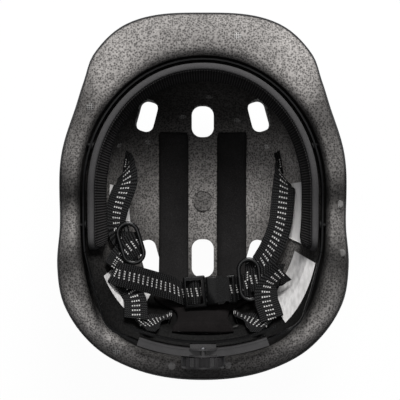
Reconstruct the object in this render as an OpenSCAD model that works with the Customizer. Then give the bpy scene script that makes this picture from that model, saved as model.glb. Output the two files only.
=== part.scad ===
// Moulded cycling helmet with a built-in visor, lying upturned on its crown.
// Origin: the middle of the resting face. +Z points out of the head opening,
// +Y towards the visor. Left and right in the names are as the bowl is looked into
// with the visor at the top, so -X is left; worn, that side is the wearer's right.

/* [Brim outline] */
// Reach of the visor ahead of the centre
visor_reach = 138; // [132:0.5:144]
// Radius at the visor's rounded corners
visor_corner_r = 141.5; // [136:0.5:145]
// Radius halfway down the visor's side
visor_side_r = 124; // [120:0.5:128]
// Radius where the visor runs into the side
visor_root_r = 115; // [112:0.5:118]
// Half width of the brim at the ears
ear_r = 107.5; // [106:0.5:111]
// Radius behind the ears
rear_side_r = 131.5; // [127:0.5:135]
// Radius of the rear corners
rear_corner_r = 139; // [134:0.5:143]
// Reach of the brim behind the centre
rear_reach = 138; // [133:0.5:143]

/* [Shell and foam] */
// Height of the shell's edge at the back
rim_h = 115; // [110:0.5:120]
// How far the edge drops at the visor
visor_drop = 9; // [4:0.5:14]
// How far the edge rises behind the ears
rear_rise = 6; // [2:0.5:8]
// Half width of the body below the brim
body_half_w = 103.5; // [101:0.5:106]
// Reach of the body at the brow
body_front = 121; // [116:0.5:125]
// Reach of the body at the nape
body_rear = 131; // [127:0.5:134]
// Thickness of the outer shell
shell_t = 1.2; // [0.8:0.1:2]
// Foam thickness at the crown
crown_t = 24.8; // [20:0.2:28]
// Height of the foam rim above the shell's edge
lip_h = 8; // [5:0.5:10]
// Radius of the resting face on the crown
rest_r = 20; // [14:1:24]

/* [Head opening] */
// Half width of the opening at the rim
opening_half_w = 92.5; // [91:0.5:94]
// Reach of the opening at the brow
opening_front = 106; // [103:0.1:108]
// Reach of the opening at the nape
opening_rear = 120; // [118:0.5:122]
// Half width of the bowl below the flared mouth
bowl_half_w = 86; // [84:0.5:87]
// Reach of the bowl at the brow
bowl_front = 98; // [96:0.5:100]
// Reach of the bowl at the nape
bowl_rear = 106; // [104:0.5:108]

/* [Vents] */
// Width of the middle vents
vent_w = 17; // [14:0.5:19]
// Length of the front vents
vent_front_l = 24.5; // [20:0.5:27]
// Length of the rear vents
vent_rear_l = 30; // [26:0.5:33]
// Width of the side vents
vent_side_w = 14; // [12:0.5:16]
// Distance of the side vents from the middle
vent_x = 44; // [42:0.5:48]
// Place of the front vents
vent_front_y = 61; // [58:0.5:64]
// Place of the rear vents
vent_rear_y = -50; // [-53:0.5:-47]
// Slant of the side vents
vent_slant = 16; // [8:1:24]

/* [Pads] */
// Thickness of the foam in the pads
pad_t = 5; // [4:0.5:6]
// Thickness of the fabric on the brow pad
fabric_t = 0.9; // [0.6:0.1:1.2]
// Width of a crown pad
crown_pad_w = 22; // [18:0.5:24]
// Distance of a crown pad's middle from the helmet's
crown_pad_x = 23.5; // [22:0.5:25]
// Width of the nape pad
nape_pad_w = 78; // [60:1:90]

/* [Fit system] */
// Height of the ring's band
ring_h = 9; // [7:0.5:10]
// Thickness of the ring's band
ring_t = 1.2; // [0.8:0.1:1.6]
// Gap between the ring and the rim
ring_gap = 3; // [2.5:0.1:4]
// Radius that the racks and the housing curve to
fit_r = 138; // [130:1:150]
// Thickness of a rack
rack_t = 1.2; // [1:0.1:1.8]
// Height of a rack
rack_h = 17; // [16:0.5:18]
// Module of the pinion and the racks
tooth_m = 1; // [0.9:0.05:1.1]
// Teeth on the pinion
pinion_teeth = 10; // [9:1:12]
// Wall of the housing
housing_t = 1.3; // [1.2:0.1:2]
// Half the housing's sweep
housing_sweep = 20; // [18:0.5:22]
// Travel of each rack
rack_travel = 20; // [10:1:20]
// Diameter of the dial
dial_d = 33; // [30:0.5:35]
// Depth of the dial
dial_t = 8; // [7:0.5:9]
// Diameter of the dial's shaft
shaft_d = 6; // [5:0.5:6.5]

/* [Straps and buckle] */
// Width of the webbing
web_w = 18; // [15:0.5:19]
// Thickness of the webbing
web_t = 1.4; // [1:0.1:1.8]
// Length of a side slider
slider_l = 34; // [32:0.5:38]
// Width of a side slider
slider_w = 18.5; // [17:0.5:22]
// Thickness of a side slider's rim
slider_t = 2.4; // [2:0.2:3.4]
// Length of the buckle's socket
socket_l = 23; // [22:0.5:26]
// Width of the buckle's socket
socket_w = 22; // [21:0.5:24]
// Thickness of the buckle's socket
socket_t = 8; // [7:0.5:9]
// Width of the plug's webbing frame
frame_w = 24.6; // [23:0.2:27]
// Length of the plug's webbing frame
frame_l = 17; // [15:0.5:19]

/* [Hidden] */

clear = 0.3;            // running gap between separate pieces
seat = 0.1;             // gap between pieces that lie against each other
seg = 56;               // steps round the helmet
focus = [0, -5, 112];   // point that the bowl's walls face

// Brim radius by angle from the side; the front is at 90
brim_knots = [[-90, rear_reach], [-68, rear_corner_r + 0.5], [-55, rear_corner_r],
              [-38, rear_side_r], [-26, (rear_side_r + ear_r) / 2 + 1.5],
              [-13, ear_r + 2.5], [0, ear_r], [17, ear_r + 2.8], [33, visor_root_r],
              [44, visor_side_r], [52, (visor_side_r + visor_corner_r) / 2 + 1.2],
              [66, visor_corner_r], [90, visor_reach]];
edge_knots = [[-90, rim_h], [-62, rim_h + 2], [-38, rim_h + rear_rise], [-6, rim_h - 1.5],
              [12, rim_h + 2.5], [30, rim_h + 1.5], [60, rim_h - visor_drop + 3],
              [90, rim_h - visor_drop]];

function unit(v) = v / norm(v);
function mix(a, b, t) = a + (b - a) * t;
function clamp(t) = max(0, min(1, t));
function ease(t) = let (c = clamp(t)) c * c * (3 - 2 * c);
function fold_angle(phi) = asin(max(-1, min(1, sin(phi))));
function slope(k, i) = i == 0 || i == len(k) - 1 ? 0
    : (k[i + 1][1] - k[i - 1][1]) / (k[i + 1][0] - k[i - 1][0]);
function span_at(k, x, i = 0) = i >= len(k) - 2 || x <= k[i + 1][0] ? i : span_at(k, x, i + 1);
// Smooth curve through knots [place, value] in rising order of place
function curve(k, x) =
    let (c = max(k[0][0], min(k[len(k) - 1][0], x)), i = span_at(k, c),
         h = k[i + 1][0] - k[i][0], t = (c - k[i][0]) / h)
    (2 * t * t * t - 3 * t * t + 1) * k[i][1] + (t * t * t - 2 * t * t + t) * h * slope(k, i)
    + (3 * t * t - 2 * t * t * t) * k[i + 1][1] + (t * t * t - t * t) * h * slope(k, i + 1);
function oval(phi, a, front, rear, n_front, n_rear) =
    let (b = sin(phi) >= 0 ? front : rear, n = sin(phi) >= 0 ? n_front : n_rear)
    1 / pow(pow(abs(cos(phi)) / a, n) + pow(abs(sin(phi)) / b, n), 1 / n);

function brim_r(phi) = curve(brim_knots, fold_angle(phi));
function edge_z(phi) = curve(edge_knots, fold_angle(phi));
function rim_z(phi) = edge_z(phi) + lip_h;
function body_r(phi) = oval(phi, body_half_w, body_front, body_rear, 2.3, 2.8);
function opening_r(phi) = oval(phi, opening_half_w, opening_front, opening_rear, 2.05, 2.9);
function bowl_r(phi) = oval(phi, bowl_half_w, bowl_front, bowl_rear, 2.1, 2.5);

// Outside of the helmet, t millimetres below its surface; th runs from crown to edge
flat_cut = 0.8;
function skin(phi, th, t) =
    let (k = 2 / 2.15,
         r = (body_r(phi) - t) * pow(sin(th), k)
             + (brim_r(phi) - body_r(phi)) * ease((th - 66) / 24),
         z = (edge_z(phi) - t) * (1 - pow(max(0, cos(th)), k)))
    [r * cos(phi), r * sin(phi), t + max(0, z - flat_cut) * edge_z(phi) / (edge_z(phi) - flat_cut)];

// Inside of the bowl
bowl_z = shell_t + crown_t;
mouth_depth = 26;
function wall_r(phi, z) =
    let (u = clamp((z - bowl_z) / (rim_z(phi) - bowl_z)))
    bowl_r(phi) * sqrt(1 - (1 - u) * (1 - u))
    + (opening_r(phi) - bowl_r(phi)) * ease((z - rim_z(phi) + mouth_depth) / 14);
function wall_at(phi, z) = let (r = wall_r(phi, z)) [r * cos(phi), r * sin(phi), z];
function psi_z(phi, psi) = bowl_z + (rim_z(phi) - bowl_z) * (1 - cos(psi));
function wall_psi(phi, psi) = wall_at(phi, psi_z(phi, psi));
function wall_find(phi, r, lo, hi, n) = n == 0 ? hi
    : let (m = (lo + hi) / 2) wall_r(phi, m) < r ? wall_find(phi, r, m, hi, n - 1)
    : wall_find(phi, r, lo, m, n - 1);
function wall_z(x, y) = let (phi = atan2(y, x)) wall_find(phi, norm([x, y]), bowl_z, rim_z(phi), 22);
function inward(p) = unit(focus - p);
function off_wall(p, d) = p + d * inward(p);

// Mean of a row's points
function centre(row, i = 0) = i == len(row) - 1 ? row[i] / len(row)
    : row[i] / len(row) + centre(row, i + 1);
// Closed solid through rows of points, each row a closed loop; the faces' diagonals
// change direction from row number turned
module loft(rows, turned = 9999) {
    m = len(rows[0]);
    n = len(rows);
    points = concat([for (row = rows) each row], [centre(rows[0]), centre(rows[n - 1])]);
    sides = [for (j = [0:n - 2], i = [0:m - 1])
        let (a = j * m + i, b = j * m + (i + 1) % m, c = a + m, d = b + m)
        each j < turned ? [[a, d, b], [a, c, d]] : [[a, c, b], [c, d, b]]];
    caps = [for (i = [0:m - 1]) each [[n * m, i, (i + 1) % m],
        [n * m + 1, (n - 1) * m + (i + 1) % m, (n - 1) * m + i]]];
    polyhedron(points, concat(sides, caps));
}
// Places children at p with their z along n and their x along w
module place(p, n, w) {
    x = unit(w - n * (w * n));
    y = cross(n, x);
    multmatrix([[x[0], y[0], n[0], p[0]], [x[1], y[1], n[1], p[1]], [x[2], y[2], n[2], p[2]]])
        children();
}

// Foam and shell
phis = [for (i = [0:seg - 1]) i * 360 / seg];
skin_steps = [16, 26, 36, 46, 56, 64, 71, 77, 82, 86.5, 90];
wall_steps = [86, 83, 80, 77, 74, 69, 62, 54, 46, 38, 29, 20, 11];
rim_steps = [0.05, 0.14, 0.26, 0.42, 0.62, 0.74, 0.84, 0.93, 1];
// Height of the foam rim, as a share of lip_h, from the shell's edge to the opening
crest = 0.62;           // where the rim is highest
roll = 0.74;            // where it starts to round into the bowl
function rim_shape(s) = s < crest ? pow(sin(90 * s / crest), 0.85)
    : s < roll ? 1 : 1 - 0.6 * pow((s - roll) / (1 - roll), 2);
function rim_at(phi, s, t) =
    let (r = mix(brim_r(phi) - t, opening_r(phi), s), z = edge_z(phi) + lip_h * rim_shape(s))
    [r * cos(phi), r * sin(phi), z];
function skin_rows(t) = concat(
    [[for (phi = phis) [rest_r * cos(phi), rest_r * sin(phi), t]]],
    [for (th = skin_steps) [for (phi = phis) skin(phi, th, t)]]);
function backwards(rows) = [for (i = [len(rows) - 1:-1:0]) rows[i]];

vent_edge = 3;          // how much wider a vent is outside
vent_step = 1.7;        // the front side vents lie ahead and the middle one behind by this much
vent_top = 80;          // height that clears the bowl's wall at every vent
module vent_hole(x, y, w, l, slant) {
    r = w * 0.42;
    translate([x, y, 0]) rotate(slant) {
        hull() for (sx = [-1, 1], sy = [-1, 1])
            translate([sx * (w / 2 - r), sy * (l / 2 - r), -1])
                cylinder(h = vent_top, r = r, $fn = 24);
        hull() for (sx = [-1, 1], sy = [-1, 1])
            translate([sx * (w / 2 - r), sy * (l / 2 - r), -1])
                cylinder(h = 30, r1 = r + vent_edge, r2 = r, $fn = 24);
    }
}
module vents() {
    for (y = [vent_front_y, vent_rear_y]) {
        l = y > 0 ? vent_front_l : vent_rear_l;
        vent_hole(0, y > 0 ? y - vent_step : y, vent_w, l, 0);
        for (side = [-1, 1])
            vent_hole(side * vent_x * (y > 0 ? 1 : 0.95), y > 0 ? y + vent_step : y, vent_side_w, l,
                side * (y > 0 ? 1 : -1) * vent_slant);
    }
}
module outer_shell() color("#1c1c1d") difference() {
    loft(concat(skin_rows(0), backwards(skin_rows(shell_t))), len(skin_steps) + 1);
    vents();
}

// Anchors that hold the straps in slits through the foam
anchor_front = [61, 26, [0, 1, 0]];    // place, and the direction of the slit's width
anchor_rear = [25.5, -94, [0, 0, 1]];
anchor_w = web_w + 5;
anchor_l = 8;
anchor_t = 2.4;
anchor_depth = 17;
slit_w = web_w + 1.2;
slit_t = web_t + 1.4;
function anchor_base(a, side) = [a[0] * side, a[1], wall_z(a[0], a[1])];
module at_anchor(a, side) let (p = anchor_base(a, side)) place(p, inward(p), a[2]) children();
module slit() {
    translate([-slit_w / 2, -slit_t / 2, -50]) cube([slit_w, slit_t, 56]);
    translate([-anchor_w / 2 - clear, -anchor_l / 2 - clear, -50])
        cube([anchor_w + 2 * clear, anchor_l + 2 * clear, 50 - anchor_depth + clear]);
}
module anchor() translate([-anchor_w / 2, -anchor_l / 2, -anchor_depth - anchor_t]) difference() {
    cube([anchor_w, anchor_l, anchor_t]);
    translate([(anchor_w - web_w) / 2 - clear, anchor_l / 2 - web_t / 2 - clear, -1])
        cube([web_w + 2 * clear, web_t + 2 * clear, anchor_t + 2]);
}
module front_anchors() color("#202020") for (side = [-1, 1]) at_anchor(anchor_front, side) anchor();
module rear_anchors() color("#202020") for (side = [-1, 1]) at_anchor(anchor_rear, side) anchor();

// Pins that hold the ring to the foam
pin_r = 1.6;
pin_share = 0.53;        // share of the brim's width that a pin reaches into
pin_head_r = 3.6;
pin_head_t = 1;
pin_places = [24, 156, -14, 194];
ring_inset = 10;        // how far the ring's middle lies below the rim
function ring_r(phi) = opening_r(phi) - ring_gap;
function ring_at(phi) = [ring_r(phi) * cos(phi), ring_r(phi) * sin(phi), rim_z(phi) - ring_inset];
module at_pins() for (phi = pin_places)
    let (along = unit(ring_at(phi + 1) - ring_at(phi - 1)),
         $pin_l = pin_share * (brim_r(phi) - opening_r(phi)))
        place(ring_at(phi), unit(cross([0, 0, 1], along)), [0, 0, 1]) children();

module foam_liner() color("#5e5c5b") difference() {
    t = shell_t + seat;
    loft(concat(skin_rows(t),
        [for (s = rim_steps) [for (phi = phis) rim_at(phi, s, t)]],
        [for (psi = wall_steps) [for (phi = phis) wall_psi(phi, psi)]]));
    vents();
    for (side = [-1, 1]) {
        at_anchor(anchor_front, side) slit();
        at_anchor(anchor_rear, side) slit();
    }
    at_pins() translate([0, 0, -$pin_l - clear]) cylinder(h = $pin_l + 3, r = pin_r + clear, $fn = 20);
    translate([0, -5, bowl_z - 1]) difference() {
        cylinder(h = 9, r = 8.8, $fn = 40);
        translate([0, 0, -1]) cylinder(h = 11, r = 7, $fn = 40);
    }
}

// Pads
function end_taper(d) = d >= 1 ? 1 : sqrt(1 - pow(1 - max(0.05, d), 2));
brow_from = -27;
brow_to = 207;
brow_step = 9;
brow_back = [[86.5, 6], [79, 5.4], [73, 2.2], [63.5, 0.6]];
function brow_front(t) = [[62, 1.4], [63.5, t - 0.2], [68, t + 1.4], [73, t + 3.2], [79, t + 5],
    [85.5, t + 5.8], [87, t + 4.8]];
// The pad reaches less far down the bowl at the brow than at the sides
function brow_psi(phi, psi) = 88 - (88 - psi)
    * mix(mix(0.85, 0.69, ease(cos(phi) / 0.3)), 0.65, ease((sin(phi) - 0.25) / 0.4));
function brow_row(phi, loop, apart = 0) =
    let (s = end_taper(min(phi - brow_from, brow_to - phi) / 7))
    [for (q = loop) off_wall(wall_psi(phi, brow_psi(phi, mix(75, q[0], s))),
        mix(4.2, q[1], mix(0.5, 1, s)) + apart * (1 - s))];
brow_phis = [for (phi = [brow_from:brow_step:brow_to]) phi];
module brow_pad_foam() color("#545152")
    loft([for (phi = brow_phis) brow_row(phi, concat(brow_back, brow_front(pad_t)))]);
module brow_pad_fabric() color("#151415") {
    t = pad_t + 0.6;
    inner = [[61.7, 1.8], [63.5, t - 0.1], [68, t + 1.5], [73, t + 3.3], [79, t + 5.1],
        [85.4, t + 5.9]];
    outer = [for (i = [len(inner) - 1:-1:0]) [inner[i][0] - (i == 0 ? 0.8 : 0), inner[i][1] + fabric_t]];
    loft(backwards([for (phi = brow_phis) brow_row(phi, concat(inner, outer), 1.5)]));
}
pad_lift = 1.5;           // gap behind the pads, filled by their hook patches
module crown_pad(side) {
    ys = [for (y = [51:-9:-75]) y];
    spread = [-1, -0.6, 0, 0.6, 1];
    loft([for (y = ys)
        let (s = end_taper(min(51 - y, y + 75) / 8 + 0.1), hw = crown_pad_w / 2 * mix(0.8, 1, s))
        concat(
            [for (a = spread) let (x = side * crown_pad_x + a * hw)
                off_wall([x, y, wall_z(x, y)], pad_lift)],
            [for (a = [1, 0.6, 0, -0.6, -1]) let (x = side * crown_pad_x + a * hw)
                off_wall([x, y, wall_z(x, y)], pad_lift + pad_t * s * (1 - 0.55 * pow(a, 4)))])]);
}
module crown_pad_left() color("#191818") crown_pad(-1);
module crown_pad_right() color("#191818") crown_pad(1);
nape_half = [[50, 25], [57, 25], [61, 13.2], [80, 13]];
module nape_pad() color("#151415") {
    spread = [-1, -0.7, -0.3, 0.3, 0.7, 1];
    loft([for (psi = [51, 53, 56, 59, 62, 66, 69, 72, 75, 77])
        let (half = curve(nape_half, psi) * nape_pad_w / 78,
             s = end_taper(min(psi - 51, 77 - psi) / 3 + 0.1))
        concat(
            [for (a = spread) off_wall(wall_psi(-90 + a * half, psi), pad_lift)],
            [for (i = [5:-1:0]) let (a = spread[i])
                off_wall(wall_psi(-90 + a * half, psi), pad_lift + pad_t * s * (1 - 0.55 * pow(a, 4)))])]);
}
// Hook patches between the pads and the foam
patch_r = 3.4;
module pad_fasteners() color("#101010") {
    for (side = [-1, 1], y = [32, -6, -50]) let (x = side * crown_pad_x, p = [x, y, wall_z(x, y)])
        place(off_wall(p, 0.95), inward(p), [1, 0, 0]) cylinder(h = 0.2, r = patch_r);
}

// Blank stickers on the foam
label_t = 0.3;
label_lift = 0.7;
module label(from, to, psis) color("#c2bebc") {
    n = 8;
    loft(backwards([for (i = [0:n]) let (phi = mix(from, to, i / n))
        concat([for (psi = psis) off_wall(wall_psi(phi, psi), label_lift)],
            [for (psi = backwards(psis)) off_wall(wall_psi(phi, psi), label_lift + label_t)])]));
}
module label_left_front() label(173, 200, [43, 46, 54, 58]);
module label_left_rear() label(219, 242, [54, 62, 69, 74, 77]);
module label_right_front() label(-26, 8, [48, 55, 62, 65, 67]);
module label_right_rear() label(-57, -31, [62, 69, 74, 77, 80]);

// Fit system: two racks slide through a curved housing, driven by one pinion
fit_back = 114.3;                       // how far the racks lie behind the centre
fit_y = fit_r - fit_back;
fit_z = rim_h + lip_h + 1.5 + dial_d / 2;
rack_gap = 0.4;                         // gap between the two racks
outer_rack_r = fit_r + rack_gap / 2;
inner_rack_r = fit_r - rack_gap / 2 - rack_t;
cover_r = outer_rack_r + rack_t + clear;
back_r = inner_rack_r - clear - housing_t;
channel_h = rack_h + 2 * clear;
housing_h = channel_h + 2 * 1.6;
pitch_r = tooth_m * pinion_teeth / 2;
pressure = 30;
addendum = 0.75 * tooth_m;
dedendum = 1.15 * tooth_m;
backlash = 0.25;
tooth_pitch = PI * tooth_m;
rack_out = 28.5;                          // sweep of a rack from the dial to its band
rack_in = 5.5;                          // sweep of a rack beyond the dial
band_from = -25.5;                      // where the racks' bands meet the ring

module arc_plate(r0, r1, a0, a1, z0, z1) translate([0, fit_y, fit_z]) rotate(a0 - 90)
    rotate_extrude(angle = a1 - a0, $fn = 120) translate([r0, z0]) square([r1 - r0, z1 - z0]);
module rack_tooth(r, a, up) {
    root = pitch_r + dedendum + 0.2;
    tip = pitch_r - addendum;
    half = tooth_pitch / 4 - backlash / 2;
    wide = half + (root - pitch_r) * tan(pressure);
    thin = half - addendum * tan(pressure);
    translate([0, fit_y, fit_z]) rotate(a - 90) translate([r, 0, 0]) rotate([90, 0, 90])
        linear_extrude(rack_t)
            polygon([[-wide, up * root], [wide, up * root], [thin, up * tip], [-thin, up * tip]]);
}
module rack(side) {
    r = side < 0 ? outer_rack_r : inner_rack_r;
    up = side < 0 ? 1 : -1;
    step = tooth_pitch / (r + rack_t / 2) * 180 / PI;
    sweep = rack_travel / (r + rack_t / 2) * 180 / PI;
    reach = 8 / r * 180 / PI;
    from = side < 0 ? -rack_out : -rack_in;
    low = side < 0 ? -sweep - reach : -reach * 0.8;
    high = side < 0 ? reach * 0.8 : sweep + reach;
    teeth_edge = pitch_r + dedendum;
    free_edge = pitch_r + addendum + 0.4;
    difference() {
        arc_plate(r, r + rack_t, from, from + rack_out + rack_in, -rack_h / 2, rack_h / 2);
        arc_plate(r - 1, r + rack_t + 1, low, high,
            up > 0 ? -free_edge : -teeth_edge, up > 0 ? teeth_edge : free_edge);
    }
    for (k = [ceil(low / step) : floor(high / step)])
        if (k * step - 0.7 > low && k * step + 0.7 < high) rack_tooth(r, k * step, up);
}
// Flexible band that runs from a rack to the ring
function tail_r(phi, t) = opening_r(phi) - ring_gap - 2.5 * sin(180 * t);
module tail(side) {
    r = (side < 0 ? outer_rack_r : inner_rack_r) + rack_t / 2;
    start = [r * sin(rack_out - 0.3), fit_y - r * cos(rack_out - 0.3)];
    phi0 = atan2(start[1], start[0]);
    n = 9;
    loft([for (i = [0:n])
        let (t = i / n, phi = mix(band_from - 0.3, phi0, t),
             q = mix(tail_r(phi, t), norm(start), ease(t * 3 - 2)),
             z = mix(rim_z(phi) - ring_inset, fit_z, ease(t)),
             d = [side * cos(phi), sin(phi)])
        [for (c = [[-1, -1], [1, -1], [1, 1], [-1, 1]])
            let (w = (q + c[0] * ring_t / 2) * d) [w[0], w[1], z + side * c[1] * ring_h / 2]]]);
}
module rack_left() color("#2c2c2d") { rack(-1); tail(-1); }
module rack_right() color("#2c2c2d") { rack(1); tail(1); }

module ring_band() color("#2c2c2d") difference() {
    n = 46;
    loft([for (i = [0:n]) let (phi = mix(band_from, 180 - band_from, i / n), p = ring_at(phi))
        [for (c = [[-1, -1], [-1, 1], [1, 1], [1, -1]])
            [(ring_r(phi) + c[0] * ring_t / 2) * cos(phi), (ring_r(phi) + c[0] * ring_t / 2) * sin(phi),
             p[2] + c[1] * ring_h / 2]]]);
    at_pins() translate([0, 0, -3]) cylinder(h = 6, r = pin_r + 0.2, $fn = 20);
}
module ring_pins() color("#202020") at_pins() {
    translate([0, 0, ring_t / 2 + clear]) cylinder(h = pin_head_t, r = pin_head_r);
    translate([0, 0, -$pin_l]) cylinder(h = $pin_l + ring_t / 2 + clear + 0.2, r = pin_r, $fn = 20);
}
nape_band_h = 13;
hump_w = 19;
hump_t = 3;
nape_band_r = back_r - hump_t - clear - ring_t;
nape_sweep = 24;
module nape_band() color("#2c2c2d") arc_plate(nape_band_r, nape_band_r + ring_t, -nape_sweep, nape_sweep,
    -nape_band_h / 2, nape_band_h / 2);

// Housing
disc_r = 14.5;
lip_top = housing_h / 2 - 0.2;
screw_z = 12.4;
screw_r = 1;
post_r = 1.7;
cover_y = fit_y - cover_r;              // inside of the cover at the dial
back_y = fit_y - back_r;                // head side of the back plate at the dial
shaft_play = 0.06;
module along_y(y0, y1, r, x = 0, z = 0) translate([x, max(y0, y1), fit_z + z]) rotate([90, 0, 0])
    cylinder(h = abs(y1 - y0), r = r, $fn = 48);
module housing_wall(r) intersection() {
    arc_plate(r, r + housing_t, -housing_sweep, housing_sweep, -disc_r - 1, disc_r + 1);
    translate([0, fit_y - r + 20, fit_z]) rotate([90, 0, 0]) linear_extrude(40) {
        square([2 * r, housing_h], center = true);
        circle(r = disc_r, $fn = 72);
    }
}
module at_screws() for (s = [-1, 1]) translate([0, 0, s * screw_z]) children();
module housing_cover() color("#4d4b4c") difference() {
    union() {
        housing_wall(cover_r);
        for (s = [-1, 1]) arc_plate(back_r + housing_t + seat, cover_r + 0.9, -housing_sweep, housing_sweep,
            s > 0 ? channel_h / 2 : -lip_top, s > 0 ? lip_top : -channel_h / 2);
        at_screws() along_y(back_y - housing_t - seat, cover_y - 0.5, post_r);
    }
    along_y(cover_y + 1, cover_y - housing_t - 1, shaft_d / 2 + shaft_play);
    at_screws() along_y(back_y - housing_t, cover_y - 0.4, screw_r + 0.05);
}
module housing_back() color("#4d4b4c") difference() {
    union() {
        housing_wall(back_r);
        translate([-hump_w / 2, back_y - 1, fit_z - 6.5]) cube([hump_w, hump_t + 1, 13]);
    }
    along_y(back_y - housing_t - 1, back_y + hump_t - 0.8, shaft_d / 2 + shaft_play);
    at_screws() along_y(back_y - housing_t - 1, back_y + 1, screw_r + 0.1);
}
module housing_screws() color("#8a8a8c") at_screws() {
    along_y(back_y + seat, back_y + seat + 1, 1.9);
    along_y(back_y + seat, cover_y - 0.2, screw_r);
}

// Dial
dial_gap = 0.4;
dial_y = cover_y - housing_t - dial_gap;
ribs = 24;
rib_h = 0.5;
dial_wall = 2.4;
cup_depth = 3;
clicks = 30;
module dial_prism(h, r, n, d) rotate([90, 0, 0]) linear_extrude(h)
    polygon([for (i = [0:4 * n - 1]) let (a = i * 90 / n, q = r + d * sin(i * 90))
        [q * cos(a), q * sin(a)]]);
module dial_knob() color("#4a4849") difference() {
    union() {
        translate([0, dial_y, fit_z]) dial_prism(dial_t - 1.2, dial_d / 2 - rib_h - 0.3, ribs, rib_h);
        along_y(dial_y - dial_t + 1.3, dial_y - dial_t, dial_d / 2);
    }
    translate([0, dial_y + 1, fit_z]) dial_prism(cup_depth + 1, dial_d / 2 - dial_wall - 0.4, clicks, 0.3);
    along_y(dial_y + 1, dial_y - dial_t + 2.5, shaft_d / 2 + 0.05);
    along_y(dial_y - 1, dial_y - dial_t - 1, 1.3);
    along_y(dial_y - dial_t + 1.2, dial_y - dial_t - 1, 2.6);
}
function involute(r) = let (a = acos(min(1, pitch_r * cos(pressure) / r))) tan(a) * 180 / PI - a;
gear_half = (tooth_pitch / 2 - backlash) / 2 / pitch_r * 180 / PI + tan(pressure) * 180 / PI - pressure;
root_r = pitch_r - dedendum;
gear_rs = [for (i = [0:5]) max(pitch_r * cos(pressure), mix(root_r, pitch_r + addendum, i / 5))];
module dial_pinion() color("#b9b5a8") difference() {
    union() {
        translate([0, back_y - housing_t - clear, fit_z]) rotate([90, 0, 0])
            linear_extrude(2 * rack_t + rack_gap) polygon([for (k = [0:pinion_teeth - 1])
                let (mid = 90 + (k + 0.5) * 360 / pinion_teeth)
                each concat(
                    [[root_r * cos(mid - gear_half - 1), root_r * sin(mid - gear_half - 1)]],
                    [for (r = gear_rs) let (a = mid - gear_half + involute(r)) [r * cos(a), r * sin(a)]],
                    [for (i = [5:-1:0]) let (r = gear_rs[i], a = mid + gear_half - involute(r))
                        [r * cos(a), r * sin(a)]],
                    [[root_r * cos(mid + gear_half + 1), root_r * sin(mid + gear_half + 1)]])]);
        along_y(back_y + hump_t - 1.1, dial_y - dial_t + 2.7, shaft_d / 2);
    }
    along_y(dial_y - 1, dial_y - dial_t, 1.05);
}
module dial_screw() color("#8a8a8c") {
    along_y(dial_y - dial_t + 1.1, dial_y - dial_t + 0.1, 2.3);
    along_y(dial_y - 1.2, dial_y - dial_t + 1, 1);
}
module click_spring() color("#9a9a9c") translate([0, cover_y - housing_t - seat, fit_z]) rotate([90, 0, 0])
    difference() {
        union() {
            cylinder(h = 1, r = 6.4, $fn = 40);
            nose = dial_d / 2 - dial_wall - 1.3;
            linear_extrude(1)
                polygon([[4.6, 3], [9, 4.2], [nose - 0.6, 1.4], [nose, 0], [nose - 1.8, -0.6], [8.2, 2.2],
                    [5.6, 0.6]]);
        }
        translate([0, 0, -1]) cylinder(h = 3, r = shaft_d / 2 + 0.4, $fn = 40);
    }

// Webbing; a station is [place, direction of its width, how far it faces up]
function web_n(p, b) = is_list(b) ? unit(b) : unit(mix(inward(p), [0, 0, 1], b));
function web_x(s) = let (n = web_n(s[0], s[2]), w = is_list(s[1]) ? s[1] : [cos(s[1]), sin(s[1]), 0])
    unit(w - n * (w * n));
function web_row(s, flip) = [for (c = [[-1, -1], [1, -1], [1, 1], [-1, 1]])
    s[0] + web_x(s) * c[0] * web_w / 2 * flip + web_n(s[0], s[2]) * c[1] * web_t / 2];
function web_turn(route, i = 0) = i == len(route) - 1 ? 0
    : cross(web_x(route[i]), web_n(route[i][0], route[i][2])) * (route[i + 1][0] - route[i][0])
    + web_turn(route, i + 1);
module swept(route) loft([for (s = route) web_row(s, web_turn(route) > 0 ? 1 : -1)]);
function slit_place(a, side, d) = let (p = anchor_base(a, side)) p + d * inward(p);
function slit_n(a, side) = let (n = inward(anchor_base(a, side)))
    -side * cross(n, unit(a[2] - n * (n * a[2])));
function slit_route(a, side, depths, up) =
    [for (d = depths) [slit_place(a, side, d), up * a[2], slit_n(a, side)]];
in_slit = [-19, -8, 1, 4];
out_slit = [5, 1, -8, -19];

front_left_route = concat(slit_route(anchor_front, -1, in_slit, 1),
    [[[-59.5, 19, 66], [0.7, 0.6, 0.1], [-0.35, 0.25, 0.9]],
     [[-58.8, 13.5, 69.5], 25, [-0.1, 0.1, 1]],
     [[-60.5, 6.5, 72], [0.97, -0.1, -0.12], [0.12, 0, 1]],
     [[-63.3, -1, 74.5], [0.9, -0.32, -0.25], [0.3, 0, 0.95]],
     [[-65.8, -9, 76.3], [0.87, -0.38, -0.3], [0.35, 0, 0.9]],
     [[-67, -16, 77.8], [0.82, -0.25, -0.45], [0.5, 0, 0.85]],
     [[-67, -22.5, 79], [0.68, -0.1, -0.68], [0.7, 0.1, 0.7]],
     [[-66, -28.2, 79.4], [0.55, 0.5, -0.55], [0.6, 0.2, 0.75]],
     [[-63.8, -32.4, 79], [0.1, 0.95, -0.1], [0.1, 0.1, 1]],
     [[-61, -35.5, 81], 107, 1], [[-54, -34.5, 81], 107, 1]]);
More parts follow.
